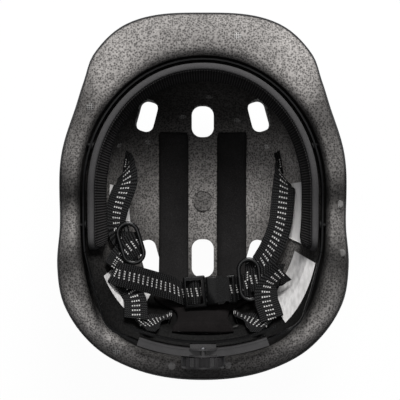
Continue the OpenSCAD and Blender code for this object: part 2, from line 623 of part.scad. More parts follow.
// The rear straps fold over twice, so each is three runs
rear_left_runs = [
    [[[-53.5, -34.5, 82.9], -62, 1], [[-56.5, -39.5, 82.9], -58, 1], [[-61.5, -45.8, 82.7], -50, 1],
     [[-64.6, -50.2, 86.4], -43, 0.85], [[-66, -53, 95.5], -40, 0.75], [[-67.2, -56, 101], -40, 0.7]],
    [[[-67.8, -57.2, 102.6], 56, 0.65], [[-62.4, -61.4, 100.4], 52, 0.6], [[-57.8, -66.8, 97.6], 40, 0.6],
     [[-54.3, -73, 95.9], 28, 0.6], [[-51.4, -79, 98.8], 8, 0.6], [[-50.6, -86, 103.8], 0, 0.6],
     [[-50.3, -92.5, 108.9], 0, 0.6]],
    concat([[[-48.5, -95.5, 109.8], 114, 0.4], [[-42.5, -96.7, 106], 114, 0.4],
     [[-37, -95.2, 99.8], [-0.3, 0.6, -0.7], 0.3], [[-30.5, -92.6, 90.5], [0, 0.2, -1], [0.45, 0.9, 0.2]]],
     slit_route(anchor_rear, -1, out_slit, -1))];
front_right_route = concat(slit_route(anchor_front, 1, in_slit, 1),
    [[[60, 20, 66.5], 112, 0.5], [[62.3, 14, 70], 140, 0.65], [[62.8, 7, 72.5], 164, 0.8],
     [[62.2, 0, 74.3], 178, 0.88], [[61.3, -9, 76.3], 178, 0.92], [[60.3, -18, 78.2], 172, 0.95],
     [[58, -27.5, 79.6], 160, 1], [[53.8, -37.5, 80.8], 149, 1], [[49.3, -46, 81.2], 139, 1],
     [[45, -54, 81.3], 122, 1], [[40.3, -60.8, 81.6], 102, 1], [[35, -64.5, 81.6], 97, 1]]);
rear_right_runs = [
    [[[36, -64.5, 83.4], 96, 1], [[43, -64, 83.3], 94, 1], [[49, -63, 83.6], 90, 1],
     [[54, -61.5, 89], 84, 0.85], [[60, -60, 98], 78, 0.7]],
    [[[61, -57.5, 99.2], 136, 0.7], [[55, -63, 95], 146, 0.6], [[50, -70, 92.8], 170, 0.6],
     [[48.4, -79, 97], 192, 0.6], [[49.8, -87, 103.2], 194, 0.6], [[51, -93, 108.3], 194, 0.6]],
    concat([[[49.5, -96.5, 108], 66, 0.4], [[43, -97, 104.5], 66, 0.4],
     [[37, -95, 99], [0.3, 0.6, -0.7], 0.3], [[30.5, -92.6, 90.5], [0, 0.2, -1], [-0.45, 0.9, 0.2]]],
     slit_route(anchor_rear, 1, out_slit, -1))];
module front_strap_left() color("#101010") swept(front_left_route);
module front_strap_right() color("#101010") swept(front_right_route);
module rear_strap_left() color("#101010") for (run = rear_left_runs) swept(run);
module rear_strap_right() color("#101010") for (run = rear_right_runs) swept(run);

// Sliders where the front and rear straps meet
module slider_at(p, angle) place(p, unit(mix(inward(p), [0, 0, 1], 0.95)), [cos(angle), sin(angle), 0]) {
    gap = web_t + 0.5;
    rim = 3;
    translate([0, 0, gap]) linear_extrude(slider_t) difference() {
        hull() for (s = [-1, 1]) translate([s * (slider_l - slider_w) / 2, 0])
            circle(d = slider_w, $fn = 40);
        hull() for (s = [-1, 1]) translate([s * (slider_l - slider_w) / 2, 0])
            circle(d = slider_w - 2 * rim, $fn = 40);
    }
    for (s = [-1, 1]) translate([s * (slider_l / 2 - 2) - 1.6, -2, -gap - 1.6]) cube([3.2, 4, 2 * gap + 2]);
    translate([-slider_l / 2 + 2, -2, -gap - 1.6]) cube([slider_l - 4, 4, 1.6]);
}
slider_left_at = [-55.5, -36.5, 82];
slider_right_at = [36, -64.5, 82.4];
module slider_left() color("#161616") slider_at(slider_left_at, -73);
module slider_right() color("#161616") slider_at(slider_right_at, -84);

// Side-release buckle; its own x runs from the plug into the socket
buckle_at = [2.4, -73.4, 82];
buckle_turn = 5;
socket_wall = 1.2;
arm_t = 1.9;
arm_l = 14;
arm_v = 7.6;            // distance of an arm's middle from the axis at its root
pad_l = 6;              // length of an arm's thumb pad
window_x = 8;
bar_t = 2.2;
module at_buckle() translate(buckle_at) rotate(buckle_turn) children();
module box(x0, x1, y0, y1, z0, z1) translate([x0, y0, z0]) cube([x1 - x0, y1 - y0, z1 - z0]);
module rounded_plate(x0, x1, w, t, r) translate([0, 0, -t / 2]) linear_extrude(t)
    hull() for (x = [x0 + r, x1 - r], y = [-w / 2 + r, w / 2 - r]) translate([x, y])
        circle(r = r, $fn = 24);
module buckle_socket() color("#171717") at_buckle() difference() {
    half = socket_w / 2 - socket_wall;
    rounded_plate(clear, socket_l + clear, socket_w, socket_t, 2);
    box(-1, window_x + arm_l - 5, -half, half, -2.6, 2.6);
    for (s = [-1, 1]) let (a = s * (half - 1), b = s * (half + 3))
        box(window_x, window_x + pad_l + 3, min(a, b), max(a, b), -5, 5);
    box(socket_l - 5.2, socket_l - bar_t, -web_w / 2 - clear, web_w / 2 + clear, -5, 5);
    box(socket_l - bar_t - 1, socket_l + 2, -web_w / 2 - clear, web_w / 2 + clear, -1.9, 0.4);
}
module buckle_plug() color("#1d1d1d") at_buckle() {
    difference() {
        rounded_plate(-frame_l, 0, frame_w, 5, 2);
        box(-frame_l + 2, -2.6, -web_w / 2 - clear, web_w / 2 + clear, -4, 4);
    }
    box(-frame_l / 2 - 1.2, -frame_l / 2 + 1.2, -web_w / 2 - 1, web_w / 2 + 1, -2.4, -0.8);
    box(-1, 13, -2, 2, -1.6, 1.6);
    for (s = [-1, 1]) box(-1, 2.4, s * arm_v - 2, s * arm_v + 2, -2.1, 2.1);
}
module plug_arm(s) at_buckle() translate([0, 0, -2.1]) linear_extrude(4.2) {
    inner = arm_v - arm_t / 2;
    outer = socket_w / 2 - 0.2;
    polygon([[2.5, s * inner], [2.5, s * (inner + arm_t)], [window_x + 0.4, s * (inner + arm_t)],
        [window_x + 0.4, s * outer], [window_x + 1.6 + pad_l / 2, s * outer],
        [arm_l + 1.4, s * (arm_v + 0.6)],
        [arm_l + 1, s * inner]]);
}
module plug_arm_front() color("#1d1d1d") plug_arm(1);
module plug_arm_rear() color("#1d1d1d") plug_arm(-1);
function buckle_point(x, y, z) = buckle_at + [x * cos(buckle_turn) - y * sin(buckle_turn),
    x * sin(buckle_turn) + y * cos(buckle_turn), z];
// Under the frame's rim, over its bar and down again; measured from the bar
bar_u = -frame_l / 2;
chin_left_route = [[[-64, -59, 105], 75, 0.9], [[-56, -61, 102.1], 75, 0.95], [[-44, -64.5, 95], 75, 1],
    [[-31, -68.7, 86.6], 78, 1], [[-22.5, -71.6, 81.4], 86, 1],
    [buckle_point(-frame_l - 1.6, 0, -3.7), 90 + buckle_turn, 1],
    [buckle_point(-frame_l + 2.5, 0, -3.6), 90 + buckle_turn, [-0.3, 0, 1]],
    [buckle_point(bar_u - 2.2, 0, 0.1), 90 + buckle_turn, [-0.5, 0, 1]],
    [buckle_point(bar_u, 0, 0.55), 90 + buckle_turn, 1],
    [buckle_point(bar_u + 2.1, 0, 0.2), 90 + buckle_turn, [0.5, 0, 1]],
    [buckle_point(bar_u + 4, 0, -2.6), 90 + buckle_turn, [1, 0, 0.35]],
    [buckle_point(bar_u + 4.3, 0, -4.6), 90 + buckle_turn, [1, 0, 0.1]]];
chin_right_route = [[buckle_point(socket_l - 4.6, 0, -0.8), 90 + buckle_turn, 1],
    [buckle_point(socket_l + 1.4, 0, -0.7), 92 + buckle_turn, 1], [[34, -68, 82.4], 97, 1]];
module chin_strap_left() color("#101010") swept(chin_left_route);
module chin_strap_right() color("#101010") swept(chin_right_route);

outer_shell();
foam_liner();
brow_pad_foam();
brow_pad_fabric();
crown_pad_left();
crown_pad_right();
nape_pad();
pad_fasteners();
label_left_front();
label_left_rear();
label_right_front();
label_right_rear();
ring_band();
ring_pins();
rack_left();
rack_right();
nape_band();
housing_cover();
housing_back();
housing_screws();
dial_knob();
dial_pinion();
dial_screw();
click_spring();
front_strap_left();
front_strap_right();
rear_strap_left();
rear_strap_right();
chin_strap_left();
chin_strap_right();
slider_left();
slider_right();
front_anchors();
rear_anchors();
buckle_socket();
buckle_plug();
plug_arm_front();
plug_arm_rear();
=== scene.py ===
import bpy
import bmesh
import math
import numpy as np
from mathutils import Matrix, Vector, noise


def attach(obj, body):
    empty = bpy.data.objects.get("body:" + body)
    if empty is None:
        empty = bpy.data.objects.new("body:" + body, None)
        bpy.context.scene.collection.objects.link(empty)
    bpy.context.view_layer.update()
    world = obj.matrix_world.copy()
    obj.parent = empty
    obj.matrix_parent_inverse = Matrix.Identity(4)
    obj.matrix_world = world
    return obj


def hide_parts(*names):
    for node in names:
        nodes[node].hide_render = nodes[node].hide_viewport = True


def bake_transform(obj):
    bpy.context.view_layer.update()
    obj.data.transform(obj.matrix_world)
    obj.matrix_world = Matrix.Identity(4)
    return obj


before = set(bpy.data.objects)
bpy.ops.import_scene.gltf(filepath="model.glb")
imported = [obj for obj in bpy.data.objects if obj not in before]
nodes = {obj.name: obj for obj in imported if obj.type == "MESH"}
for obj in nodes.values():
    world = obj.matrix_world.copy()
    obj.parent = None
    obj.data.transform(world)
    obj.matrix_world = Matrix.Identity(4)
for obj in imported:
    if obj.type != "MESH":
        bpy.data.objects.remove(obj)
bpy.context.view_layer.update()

MM = 0.001

# Sizes shared with the solids, in millimetres
visor_reach, visor_corner_r, visor_side_r, visor_root_r = 138, 141.5, 124, 115
ear_r, rear_side_r, rear_corner_r, rear_reach = 107.5, 131.5, 139, 138
rim_h, visor_drop, rear_rise, lip_h = 115, 9, 6, 8
body_half_w, body_front, body_rear = 103.5, 121, 131
shell_t, crown_t, rest_r = 1.2, 24.8, 20
opening_half_w, opening_front, opening_rear = 92.5, 106, 120
bowl_half_w, bowl_front, bowl_rear = 86, 98, 106
vent_w, vent_front_l, vent_rear_l, vent_side_w = 17, 24.5, 30, 14
vent_x, vent_front_y, vent_rear_y, vent_slant, vent_step = 44, 61, -50, 16, 1.7
pad_t, web_w, web_t = 5, 18, 1.4
focus = np.array([0, -5, 112.0])
bowl_z = shell_t + crown_t
flat_cut = 0.8
liner_gap = 0.1
# How square each outline is, in front and at the rear
body_power, opening_power, bowl_power, skin_power = (2.3, 2.8), (2.05, 2.9), (2.1, 2.5), 2.15
# Where the skin flares into the brim, in degrees from the crown, and the wall into the opening
flare_from, flare_span, mouth_from, mouth_span = 66, 24, 26, 14

brim_knots = [[-90, rear_reach], [-68, rear_corner_r + 0.5], [-55, rear_corner_r],
              [-38, rear_side_r], [-26, (rear_side_r + ear_r) / 2 + 1.5],
              [-13, ear_r + 2.5], [0, ear_r], [17, ear_r + 2.8], [33, visor_root_r],
              [44, visor_side_r], [52, (visor_side_r + visor_corner_r) / 2 + 1.2],
              [66, visor_corner_r], [90, visor_reach]]
edge_knots = [[-90, rim_h], [-62, rim_h + 2], [-38, rim_h + rear_rise], [-6, rim_h - 1.5],
              [12, rim_h + 2.5], [30, rim_h + 1.5], [60, rim_h - visor_drop + 3], [90, rim_h - visor_drop]]


def sin(a):
    return math.sin(math.radians(a))


def cos(a):
    return math.cos(math.radians(a))


def clamp(t):
    return max(0.0, min(1.0, t))


def ease(t):
    c = clamp(t)
    return c * c * (3 - 2 * c)


def mix(a, b, t):
    return a + (b - a) * t


def unit(v):
    v = np.asarray(v, float)
    return v / max(1e-9, np.linalg.norm(v))


# The part of v that is square to n, made one long
def square_to(v, n):
    v = np.asarray(v, float)
    return unit(v - n * np.dot(n, v))


# A smooth curve through knots of angle and value, level at both ends
def curve(k, x):
    x = max(k[0][0], min(k[-1][0], x))
    i = 0
    while i < len(k) - 2 and x > k[i + 1][0]:
        i += 1

    def slope(j):
        if j == 0 or j == len(k) - 1:
            return 0
        return (k[j + 1][1] - k[j - 1][1]) / (k[j + 1][0] - k[j - 1][0])
    h = k[i + 1][0] - k[i][0]
    t = (x - k[i][0]) / h
    return ((2 * t ** 3 - 3 * t * t + 1) * k[i][1] + (t ** 3 - 2 * t * t + t) * h * slope(i)
            + (3 * t * t - 2 * t ** 3) * k[i + 1][1] + (t ** 3 - t * t) * h * slope(i + 1))


def oval(phi, a, front, rear, n_front, n_rear):
    up = sin(phi) >= 0
    b = front if up else rear
    n = n_front if up else n_rear
    return 1 / ((abs(cos(phi)) / a) ** n + (abs(sin(phi)) / b) ** n) ** (1 / n)


# The angle round the brim, with the left side folded onto the right
def folded(phi):
    return math.degrees(math.asin(max(-1, min(1, sin(phi)))))


def brim_r(phi):
    return curve(brim_knots, folded(phi))


def edge_z(phi):
    return curve(edge_knots, folded(phi))


def rim_z(phi):
    return edge_z(phi) + lip_h


def body_r(phi):
    return oval(phi, body_half_w, body_front, body_rear, *body_power)


def opening_r(phi):
    return oval(phi, opening_half_w, opening_front, opening_rear, *opening_power)


def bowl_r(phi):
    return oval(phi, bowl_half_w, bowl_front, bowl_rear, *bowl_power)


# A point of the outside, a depth t below the surface
def skin(phi, th, t):
    k = 2 / skin_power
    flare = ease((th - flare_from) / flare_span)
    r = (body_r(phi) - t) * sin(th) ** k + (brim_r(phi) - body_r(phi)) * flare
    z = (edge_z(phi) - t) * (1 - max(0, cos(th)) ** k)
    z = t + max(0, z - flat_cut) * edge_z(phi) / (edge_z(phi) - flat_cut)
    return (r * cos(phi), r * sin(phi), z)


# The bowl's inner wall, by height or by its angle from the floor
def wall_r(phi, z):
    u = clamp((z - bowl_z) / (rim_z(phi) - bowl_z))
    mouth = ease((z - rim_z(phi) + mouth_from) / mouth_span)
    return bowl_r(phi) * math.sqrt(1 - (1 - u) ** 2) + (opening_r(phi) - bowl_r(phi)) * mouth


def wall_psi(phi, psi):
    z = bowl_z + (rim_z(phi) - bowl_z) * (1 - cos(psi))
    r = wall_r(phi, z)
    return np.array([r * cos(phi), r * sin(phi), z])


def wall_z(x, y):
    phi = math.degrees(math.atan2(y, x))
    r = math.hypot(x, y)
    lo, hi = bowl_z, rim_z(phi)
    for _ in range(24):
        m = (lo + hi) / 2
        if wall_r(phi, m) < r:
            lo = m
        else:
            hi = m
    return hi


def inward(p):
    return unit(focus - np.asarray(p, float))


def off_wall(p, d):
    return np.asarray(p, float) + d * inward(p)


# Meshes from rows of points in millimetres
def new_object(name, rows, faces, smooth=True):
    mesh = bpy.data.meshes.new(name)
    mesh.from_pydata([tuple(float(c) * MM for c in p) for row in rows for p in row], [], faces)
    mesh.update()
    for poly in mesh.polygons:
        poly.use_smooth = smooth
    obj = bpy.data.objects.new(name, mesh)
    bpy.context.scene.collection.objects.link(obj)
    face_out(obj)
    return obj


def grid_faces(rows, cols, wrapped=False):
    faces = []
    for j in range(rows if wrapped else rows - 1):
        here = j * cols
        there = (j + 1) % rows * cols
        for i in range(cols):
            k = (i + 1) % cols
            faces.append((here + i, here + k, there + k, there + i))
    return faces


def looped(name, rows):
    return new_object(name, rows, grid_faces(len(rows), len(rows[0]), True))


def closed_rows(name, rows, smooth=True):
    n = len(rows)
    cols = len(rows[0])
    faces = grid_faces(n, cols)
    faces.append(tuple(range(cols))[::-1])
    faces.append(tuple(range((n - 1) * cols, n * cols)))
    return new_object(name, rows, faces, smooth)


def face_out(obj):
    bm = bmesh.new()
    bm.from_mesh(obj.data)
    bmesh.ops.recalc_face_normals(bm, faces=bm.faces)
    bm.to_mesh(obj.data)
    bm.free()


def sharpen(obj, angle):
    bm = bmesh.new()
    bm.from_mesh(obj.data)
    limit = math.radians(angle)
    for e in bm.edges:
        if len(e.link_faces) == 2 and e.calc_face_angle(0) > limit:
            e.smooth = False
    bm.to_mesh(obj.data)
    bm.free()


def smoothed(obj, angle):
    for poly in obj.data.polygons:
        poly.use_smooth = True
    sharpen(obj, angle)


def cut(obj, cutter):
    m = obj.modifiers.new("cut", "BOOLEAN")
    m.operation = "DIFFERENCE"
    m.solver = "EXACT"
    m.object = cutter
    graph = bpy.context.evaluated_depsgraph_get()
    mesh = bpy.data.meshes.new_from_object(obj.evaluated_get(graph))
    obj.modifiers.clear()
    old = obj.data
    obj.data = mesh
    bpy.data.meshes.remove(old)
    bpy.data.objects.remove(cutter)


def joined(objs, name):
    bm = bmesh.new()
    for o in objs:
        bm.from_mesh(o.data)
        bpy.data.objects.remove(o)
    mesh = bpy.data.meshes.new(name)
    bm.to_mesh(mesh)
    bm.free()
    obj = bpy.data.objects.new(name, mesh)
    bpy.context.scene.collection.objects.link(obj)
    return obj


def finish_piece(obj, material, body, node):
    obj.data.materials.clear()
    obj.data.materials.append(material)
    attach(obj, body)
    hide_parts(node)


# Materials
class Nodes:
    def __init__(self, name):
        self.mat = bpy.data.materials.new(name)
        self.mat.use_nodes = True
        self.tree = self.mat.node_tree
        self.tree.nodes.clear()
        self.out = self.tree.nodes.new("ShaderNodeOutputMaterial")
        self.bsdf = self.tree.nodes.new("ShaderNodeBsdfPrincipled")
        self.link(self.bsdf.outputs[0], self.out.inputs[0])
        self.coord = self.tree.nodes.new("ShaderNodeTexCoord")

    def link(self, a, b):
        self.tree.links.new(a, b)

    def put(self, v, socket):
        if isinstance(v, (int, float)):
            socket.default_value = v
        elif isinstance(v, (tuple, list)):
            socket.default_value = (*v, 1)
        else:
            self.link(v, socket)

    def noise(self, scale, detail=3, rough=0.5, source=None):
        n = self.tree.nodes.new("ShaderNodeTexNoise")
        n.inputs["Scale"].default_value = scale
        n.inputs["Detail"].default_value = detail
        n.inputs["Roughness"].default_value = rough
        self.link(source or self.coord.outputs["Object"], n.inputs["Vector"])
        return n.outputs["Fac"]

    def voronoi(self, scale, random=1.0):
        n = self.tree.nodes.new("ShaderNodeTexVoronoi")
        n.inputs["Scale"].default_value = scale
        n.inputs["Randomness"].default_value = random
        self.link(self.coord.outputs["Object"], n.inputs["Vector"])
        return n.outputs["Distance"]

    def math(self, op, a, b=0.0):
        n = self.tree.nodes.new("ShaderNodeMath")
        n.operation = op
        self.put(a, n.inputs[0])
        self.put(b, n.inputs[1])
        return n.outputs[0]

    def times(self, a, b):
        return self.math("MULTIPLY", a, b)

    def plus(self, a, b):
        return self.math("ADD", a, b)

    def ramp(self, fac, stops):
        n = self.tree.nodes.new("ShaderNodeValToRGB")
        e = n.color_ramp.elements
        while len(e) < len(stops):
            e.new(0.5)
        for i, (pos, col) in enumerate(stops):
            e[i].position = pos
            e[i].color = (*col, 1)
        self.link(fac, n.inputs[0])
        return n.outputs[0]

    def spread(self, value, lo, hi, to_lo=0.0, to_hi=1.0):
        n = self.tree.nodes.new("ShaderNodeMapRange")
        n.inputs[1].default_value = lo
        n.inputs[2].default_value = hi
        n.inputs[3].default_value = to_lo
        n.inputs[4].default_value = to_hi
        self.link(value, n.inputs[0])
        return n.outputs[0]

    def mixed(self, fac, a, b, blend="MIX"):
        n = self.tree.nodes.new("ShaderNodeMix")
        n.data_type = "RGBA"
        n.blend_type = blend
        for i, v in ((0, fac), (6, a), (7, b)):
            self.put(v, n.inputs[i])
        return n.outputs[2]

    def bump(self, height, distance, strength=1.0, after=None):
        n = self.tree.nodes.new("ShaderNodeBump")
        n.inputs["Strength"].default_value = strength
        n.inputs["Distance"].default_value = distance
        self.link(height, n.inputs["Height"])
        if after is not None:
            self.link(after, n.inputs["Normal"])
        return n.outputs[0]

    def wave(self, value, pitch, kind="SINE"):
        return self.math(kind, self.times(value, 2 * math.pi / pitch))

    def uv(self):
        n = self.tree.nodes.new("ShaderNodeSeparateXYZ")
        self.link(self.coord.outputs["UV"], n.inputs[0])
        return n.outputs[0], n.outputs[1]

    def set(self, **values):
        names = {"color": "Base Color", "rough": "Roughness", "metal": "Metallic", "normal": "Normal",
                 "spec": "Specular IOR Level", "coat": "Coat Weight", "coat_rough": "Coat Roughness"}
        for k, v in values.items():
            self.put(v, self.bsdf.inputs[names[k]])
        return self.mat


# The colour times the painted light and shade stored on the mesh as its tone
def times_painted_light(m, color, share=None):
    tone = m.tree.nodes.new("ShaderNodeAttribute")
    tone.attribute_name = "tone"
    share = tone.outputs["Fac"] if share is None else m.times(tone.outputs["Fac"], share)
    gray = m.tree.nodes.new("ShaderNodeCombineColor")
    for i in range(3):
        m.link(share, gray.inputs[i])
    return m.mixed(1.0, color, gray.outputs[0], "MULTIPLY")


def foam_material():
    m = Nodes("bead_foam")
    web = m.noise(480, 2, 0.55)
    fine = m.noise(1150, 2, 0.6)
    cells = m.voronoi(640, 0.85)
    blotch = m.noise(55, 4, 0.6)
    uneven = m.plus(m.times(web, 0.5), m.times(fine, 0.25))
    speck = m.spread(m.plus(cells, uneven), 0.54, 1.1)
    color = m.mixed(speck, (0.08, 0.0755, 0.072), (0.39, 0.37, 0.354))
    grain = m.spread(fine, 0.3, 0.7, 0.85, 1.15)
    patchy = m.spread(blotch, 0.3, 0.7, 0.82, 1.16)
    color = times_painted_light(m, color, m.times(grain, patchy))
    height = m.plus(m.times(speck, 0.6), m.times(fine, 0.3))
    return m.set(color=color, rough=m.spread(fine, 0.3, 0.7, 0.6, 0.8), spec=0.1,
                 normal=m.bump(height, 0.0003, 0.5, m.bump(blotch, 0.0012, 0.3)))


def mark_material():
    m = Nodes("moulding_mark")
    dots = m.voronoi(620, 0.2)
    grain = m.noise(1500, 3, 0.6)
    spot = m.spread(dots, 0.3, 0.5)
    color = times_painted_light(m, m.mixed(spot, (0.1, 0.097, 0.094), (0.55, 0.535, 0.52)))
    return m.set(color=color, rough=m.spread(grain, 0.3, 0.7, 0.6, 0.8), spec=0.22,
                 normal=m.bump(dots, 0.0002, 0.6))


def shell_material():
    m = Nodes("shell_gloss")
    n = m.noise(180, 4, 0.6)
    fine = m.noise(2600, 2, 0.5)
    wear = m.noise(35, 5, 0.65)
    color = m.ramp(wear, [(0.3, (0.006, 0.006, 0.0063)), (0.7, (0.012, 0.012, 0.0125))])
    return m.set(color=color, rough=m.spread(n, 0.3, 0.7, 0.3, 0.42), spec=0.3, coat=0.06, coat_rough=0.2,
                 normal=m.bump(fine, 0.00003, 0.5))


def cut_foam_material():
    m = Nodes("cut_foam")
    cells = m.voronoi(2200)
    grain = m.noise(900, 3, 0.7)
    slow = m.noise(40, 3, 0.5)
    value = m.plus(m.times(cells, 0.45), m.times(grain, 0.4))
    color = m.ramp(m.plus(value, m.times(slow, 0.2)),
                   [(0.2, (0.028, 0.0275, 0.0278)), (0.85, (0.07, 0.068, 0.069))])
    return m.set(color=color, rough=0.95, spec=0.12, normal=m.bump(cells, 0.0002, 0.6))


def rib_material():
    m = Nodes("ribbed_cloth")
    rib_pitch, yarn_pitch = 0.0019, 0.0009
    u, v = m.uv()
    rib = m.spread(m.wave(u, rib_pitch), -0.7, 0.9)
    yarn = m.spread(m.wave(v, yarn_pitch), -1, 1)
    fuzz = m.noise(1800, 3, 0.6)
    color = m.mixed(rib, (0.0055, 0.0052, 0.0053), (0.03, 0.0285, 0.0285))
    color = m.mixed(m.spread(fuzz, 0.35, 0.75, 0, 0.3), color, (0.022, 0.021, 0.021))
    height = m.plus(rib, m.times(yarn, 0.25))
    return m.set(color=color, rough=0.95, spec=0.1, normal=m.bump(height, 0.0005, 0.9))


def cloth_material(name, low, high):
    m = Nodes(name)
    loop = m.voronoi(1500)
    fuzz = m.noise(900, 4, 0.7)
    soft = m.noise(45, 3, 0.5)
    color = m.ramp(m.plus(m.times(loop, 0.5), m.times(fuzz, 0.6)),
                   [(0.25, low), (0.85, high)])
    color = m.mixed(m.spread(soft, 0.35, 0.7, 0, 0.3), color, (0.001, 0.001, 0.001))
    return m.set(color=color, rough=0.97, spec=0.08,
                 normal=m.bump(loop, 0.0002, 0.6, m.bump(soft, 0.0008, 0.4)))


def web_material():
    m = Nodes("webbing")
    rib_pitch, weft_pitch, column_pitch, row_pitch = 0.0019, 0.0015, 0.0018, 0.0041
    marked_half, row_lean = 0.0036, 0.16
    u, v = m.uv()
    across = m.times(m.math("SUBTRACT", u, 0.5), web_w * MM)
    skew = m.times(m.math("PINGPONG", across, weft_pitch / 2), 0.9)
    rib = m.spread(m.wave(m.plus(v, skew), rib_pitch), -0.6, 1)
    weft = m.spread(m.wave(across, weft_pitch), -1, 1)
    fuzz = m.noise(2200, 3, 0.6)
    weave = m.times(rib, m.spread(weft, 0, 1, 0.35, 1))
    base = m.mixed(weave, (0.001, 0.001, 0.001), (0.036, 0.036, 0.0365))
    base = m.mixed(m.spread(fuzz, 0.4, 0.8, 0, 0.3), base, (0.02, 0.02, 0.02))
    inside = m.math("LESS_THAN", m.math("ABSOLUTE", across), marked_half)
    column = m.math("LESS_THAN", m.wave(across, column_pitch, "COSINE"), 0.25)
    lean = m.times(across, row_lean)
    row = m.spread(m.wave(m.plus(v, lean), row_pitch), 0.45, 0.75)
    thread = m.times(m.times(inside, column), row)
    thread = m.times(thread, m.spread(fuzz, 0.25, 0.5, 0.6, 1.0))
    color = m.mixed(thread, base, (0.5, 0.49, 0.48))
    height = m.plus(m.times(rib, 0.7), m.times(thread, 0.6))
    return m.set(color=color, rough=0.85, spec=0.06, normal=m.bump(height, 0.0004, 0.9))


def plastic_material(name, low, high, rough, spec=0.35):
    m = Nodes(name)
    n = m.noise(1200, 3, 0.6)
    wear = m.noise(90, 4, 0.6)
    color = m.ramp(wear, [(0.3, low), (0.7, high)])
    return m.set(color=color, rough=m.spread(n, 0.3, 0.7, rough - 0.06, rough + 0.08), spec=spec,
                 normal=m.bump(n, 0.00006, 0.6))


def metal_material():
    m = Nodes("plated_steel")
    n = m.noise(700, 3, 0.6)
    color = m.ramp(n, [(0.3, (0.4, 0.4, 0.41)), (0.7, (0.55, 0.55, 0.56))])
    return m.set(color=color, metal=1.0, rough=m.spread(n, 0.3, 0.7, 0.25, 0.4),
                 normal=m.bump(n, 0.00003, 0.4))


def paper_material(name, low, high):
    m = Nodes(name)
    n = m.noise(1400, 3, 0.6)
    stretched = m.tree.nodes.new("ShaderNodeMapping")
    stretched.inputs["Scale"].default_value = (1, 0.25, 0.25)
    m.link(m.coord.outputs["Object"], stretched.inputs["Vector"])
    crease = m.noise(520, 4, 0.6, stretched.outputs[0])
    shades = [(v, 0.98 * v, 0.965 * v) for v in (low, high)]
    color = m.ramp(crease, [(0.3, shades[0]), (0.62, shades[1])])
    return m.set(color=color, rough=0.55, spec=0.3,
                 normal=m.bump(n, 0.00004, 0.5, m.bump(crease, 0.0005, 0.5)))


foam_mat = foam_material()
mark_mat = mark_material()
shell_mat = shell_material()
cut_mat = cut_foam_material()
rib_mat = rib_material()
pad_mat = cloth_material("brushed_cloth", (0.004, 0.0038, 0.0038), (0.02, 0.019, 0.019))
nape_mat = cloth_material("nape_cloth", (0.003, 0.0026, 0.0026), (0.013, 0.0112, 0.0112))
hook_mat = cloth_material("hook_patch", (0.004, 0.004, 0.004), (0.02, 0.02, 0.02))
web_mat = web_material()
black, soft_black = (0.0018, 0.0018, 0.0018), (0.0036, 0.0036, 0.0037)
nylon_mat = plastic_material("black_nylon", black, soft_black, 0.28, spec=0.12)
slider_mat = plastic_material("slider_nylon", black, soft_black, 0.22, spec=0.28)
pin_mat = plastic_material("pin_nylon", (0.003, 0.003, 0.003), (0.006, 0.006, 0.006), 0.6, spec=0.1)
band_mat = plastic_material("ring_nylon", (0.0028, 0.0028, 0.003), (0.0055, 0.0055, 0.0057), 0.45, spec=0.09)
dial_mat = plastic_material("dial_plastic", (0.012, 0.0115, 0.0118), (0.022, 0.021, 0.0215), 0.34)
grey_mat = plastic_material("grey_plastic", (0.026, 0.025, 0.0255), (0.04, 0.0385, 0.039), 0.42)
gear_mat = plastic_material("acetal", (0.42, 0.4, 0.36), (0.5, 0.48, 0.43), 0.35)
steel_mat = metal_material()
paper_mat = paper_material("label_paper", 0.4, 0.6)
# A lighter copy of the label paper for the front labels: painted light against the shade on the front wall
lit_front_paper_mat = paper_material("front_label_paper_painted_light", 0.82, 0.92)

# Camera, light and floor, in metres
scene = bpy.context.scene
light_target = (0, 0, 0.08)
floor_half, floor_depth, floor_glow = 4, 0.0003, 0.97


def photo_camera():
    data = bpy.data.cameras.new("camera")
    data.sensor_width = 36
    data.lens = 145.9
    data.clip_start = 0.05
    data.clip_end = 20
    camera = bpy.data.objects.new("camera", data)
    camera.location = (-0.0022, -0.0033, 1.328)
    camera.rotation_euler = (0, 0, 0)
    scene.collection.objects.link(camera)
    scene.camera = camera


def area_light(name, place, size, power):
    data = bpy.data.lights.new(name, "AREA")
    data.shape = "DISK"
    data.size = size
    data.energy = power
    obj = bpy.data.objects.new(name, data)
    scene.collection.objects.link(obj)
    obj.location = place
    obj.rotation_euler = (Vector(light_target) - Vector(place)).to_track_quat("-Z", "Y").to_euler()


# One shader as light, another as the camera sees it
def split(tree, share, light, seen):
    mixer = tree.nodes.new("ShaderNodeMixShader")
    for socket, source in zip(mixer.inputs, (share, light, seen)):
        tree.links.new(source, socket)
    return mixer.outputs[0]


def background(tree, color, strength):
    node = tree.nodes.new("ShaderNodeBackground")
    node.inputs[0].default_value = (*color, 1)
    node.inputs[1].default_value = strength
    return node.outputs[0]


def world_light():
    world = bpy.data.worlds.new("world")
    scene.world = world
    world.use_nodes = True
    tree = world.node_tree
    tree.nodes.clear()
    out = tree.nodes.new("ShaderNodeOutputWorld")
    fill = background(tree, (0.9, 0.92, 1), 0.13)
    seen = background(tree, (1, 1, 1), 1)
    path = tree.nodes.new("ShaderNodeLightPath")
    tree.links.new(split(tree, path.outputs["Is Camera Ray"], fill, seen), out.inputs[0])


def floor():
    half = floor_half
    corners = [(x, y, -floor_depth) for x, y in ((-half, -half), (half, -half), (half, half), (-half, half))]
    mesh = bpy.data.meshes.new("floor")
    mesh.from_pydata(corners, [], [(0, 1, 2, 3)])
    obj = bpy.data.objects.new("floor", mesh)
    scene.collection.objects.link(obj)
    m = Nodes("floor_paint")
    m.set(color=(0.85, 0.85, 0.85), rough=0.9, spec=0.1)
    glow = m.tree.nodes.new("ShaderNodeEmission")
    glow.inputs[1].default_value = 1
    path = m.tree.nodes.new("ShaderNodeLightPath")
    share = m.times(path.outputs["Is Camera Ray"], floor_glow)
    m.link(split(m.tree, share, m.bsdf.outputs[0], glow.outputs[0]), m.out.inputs[0])
    mesh.materials.append(m.mat)


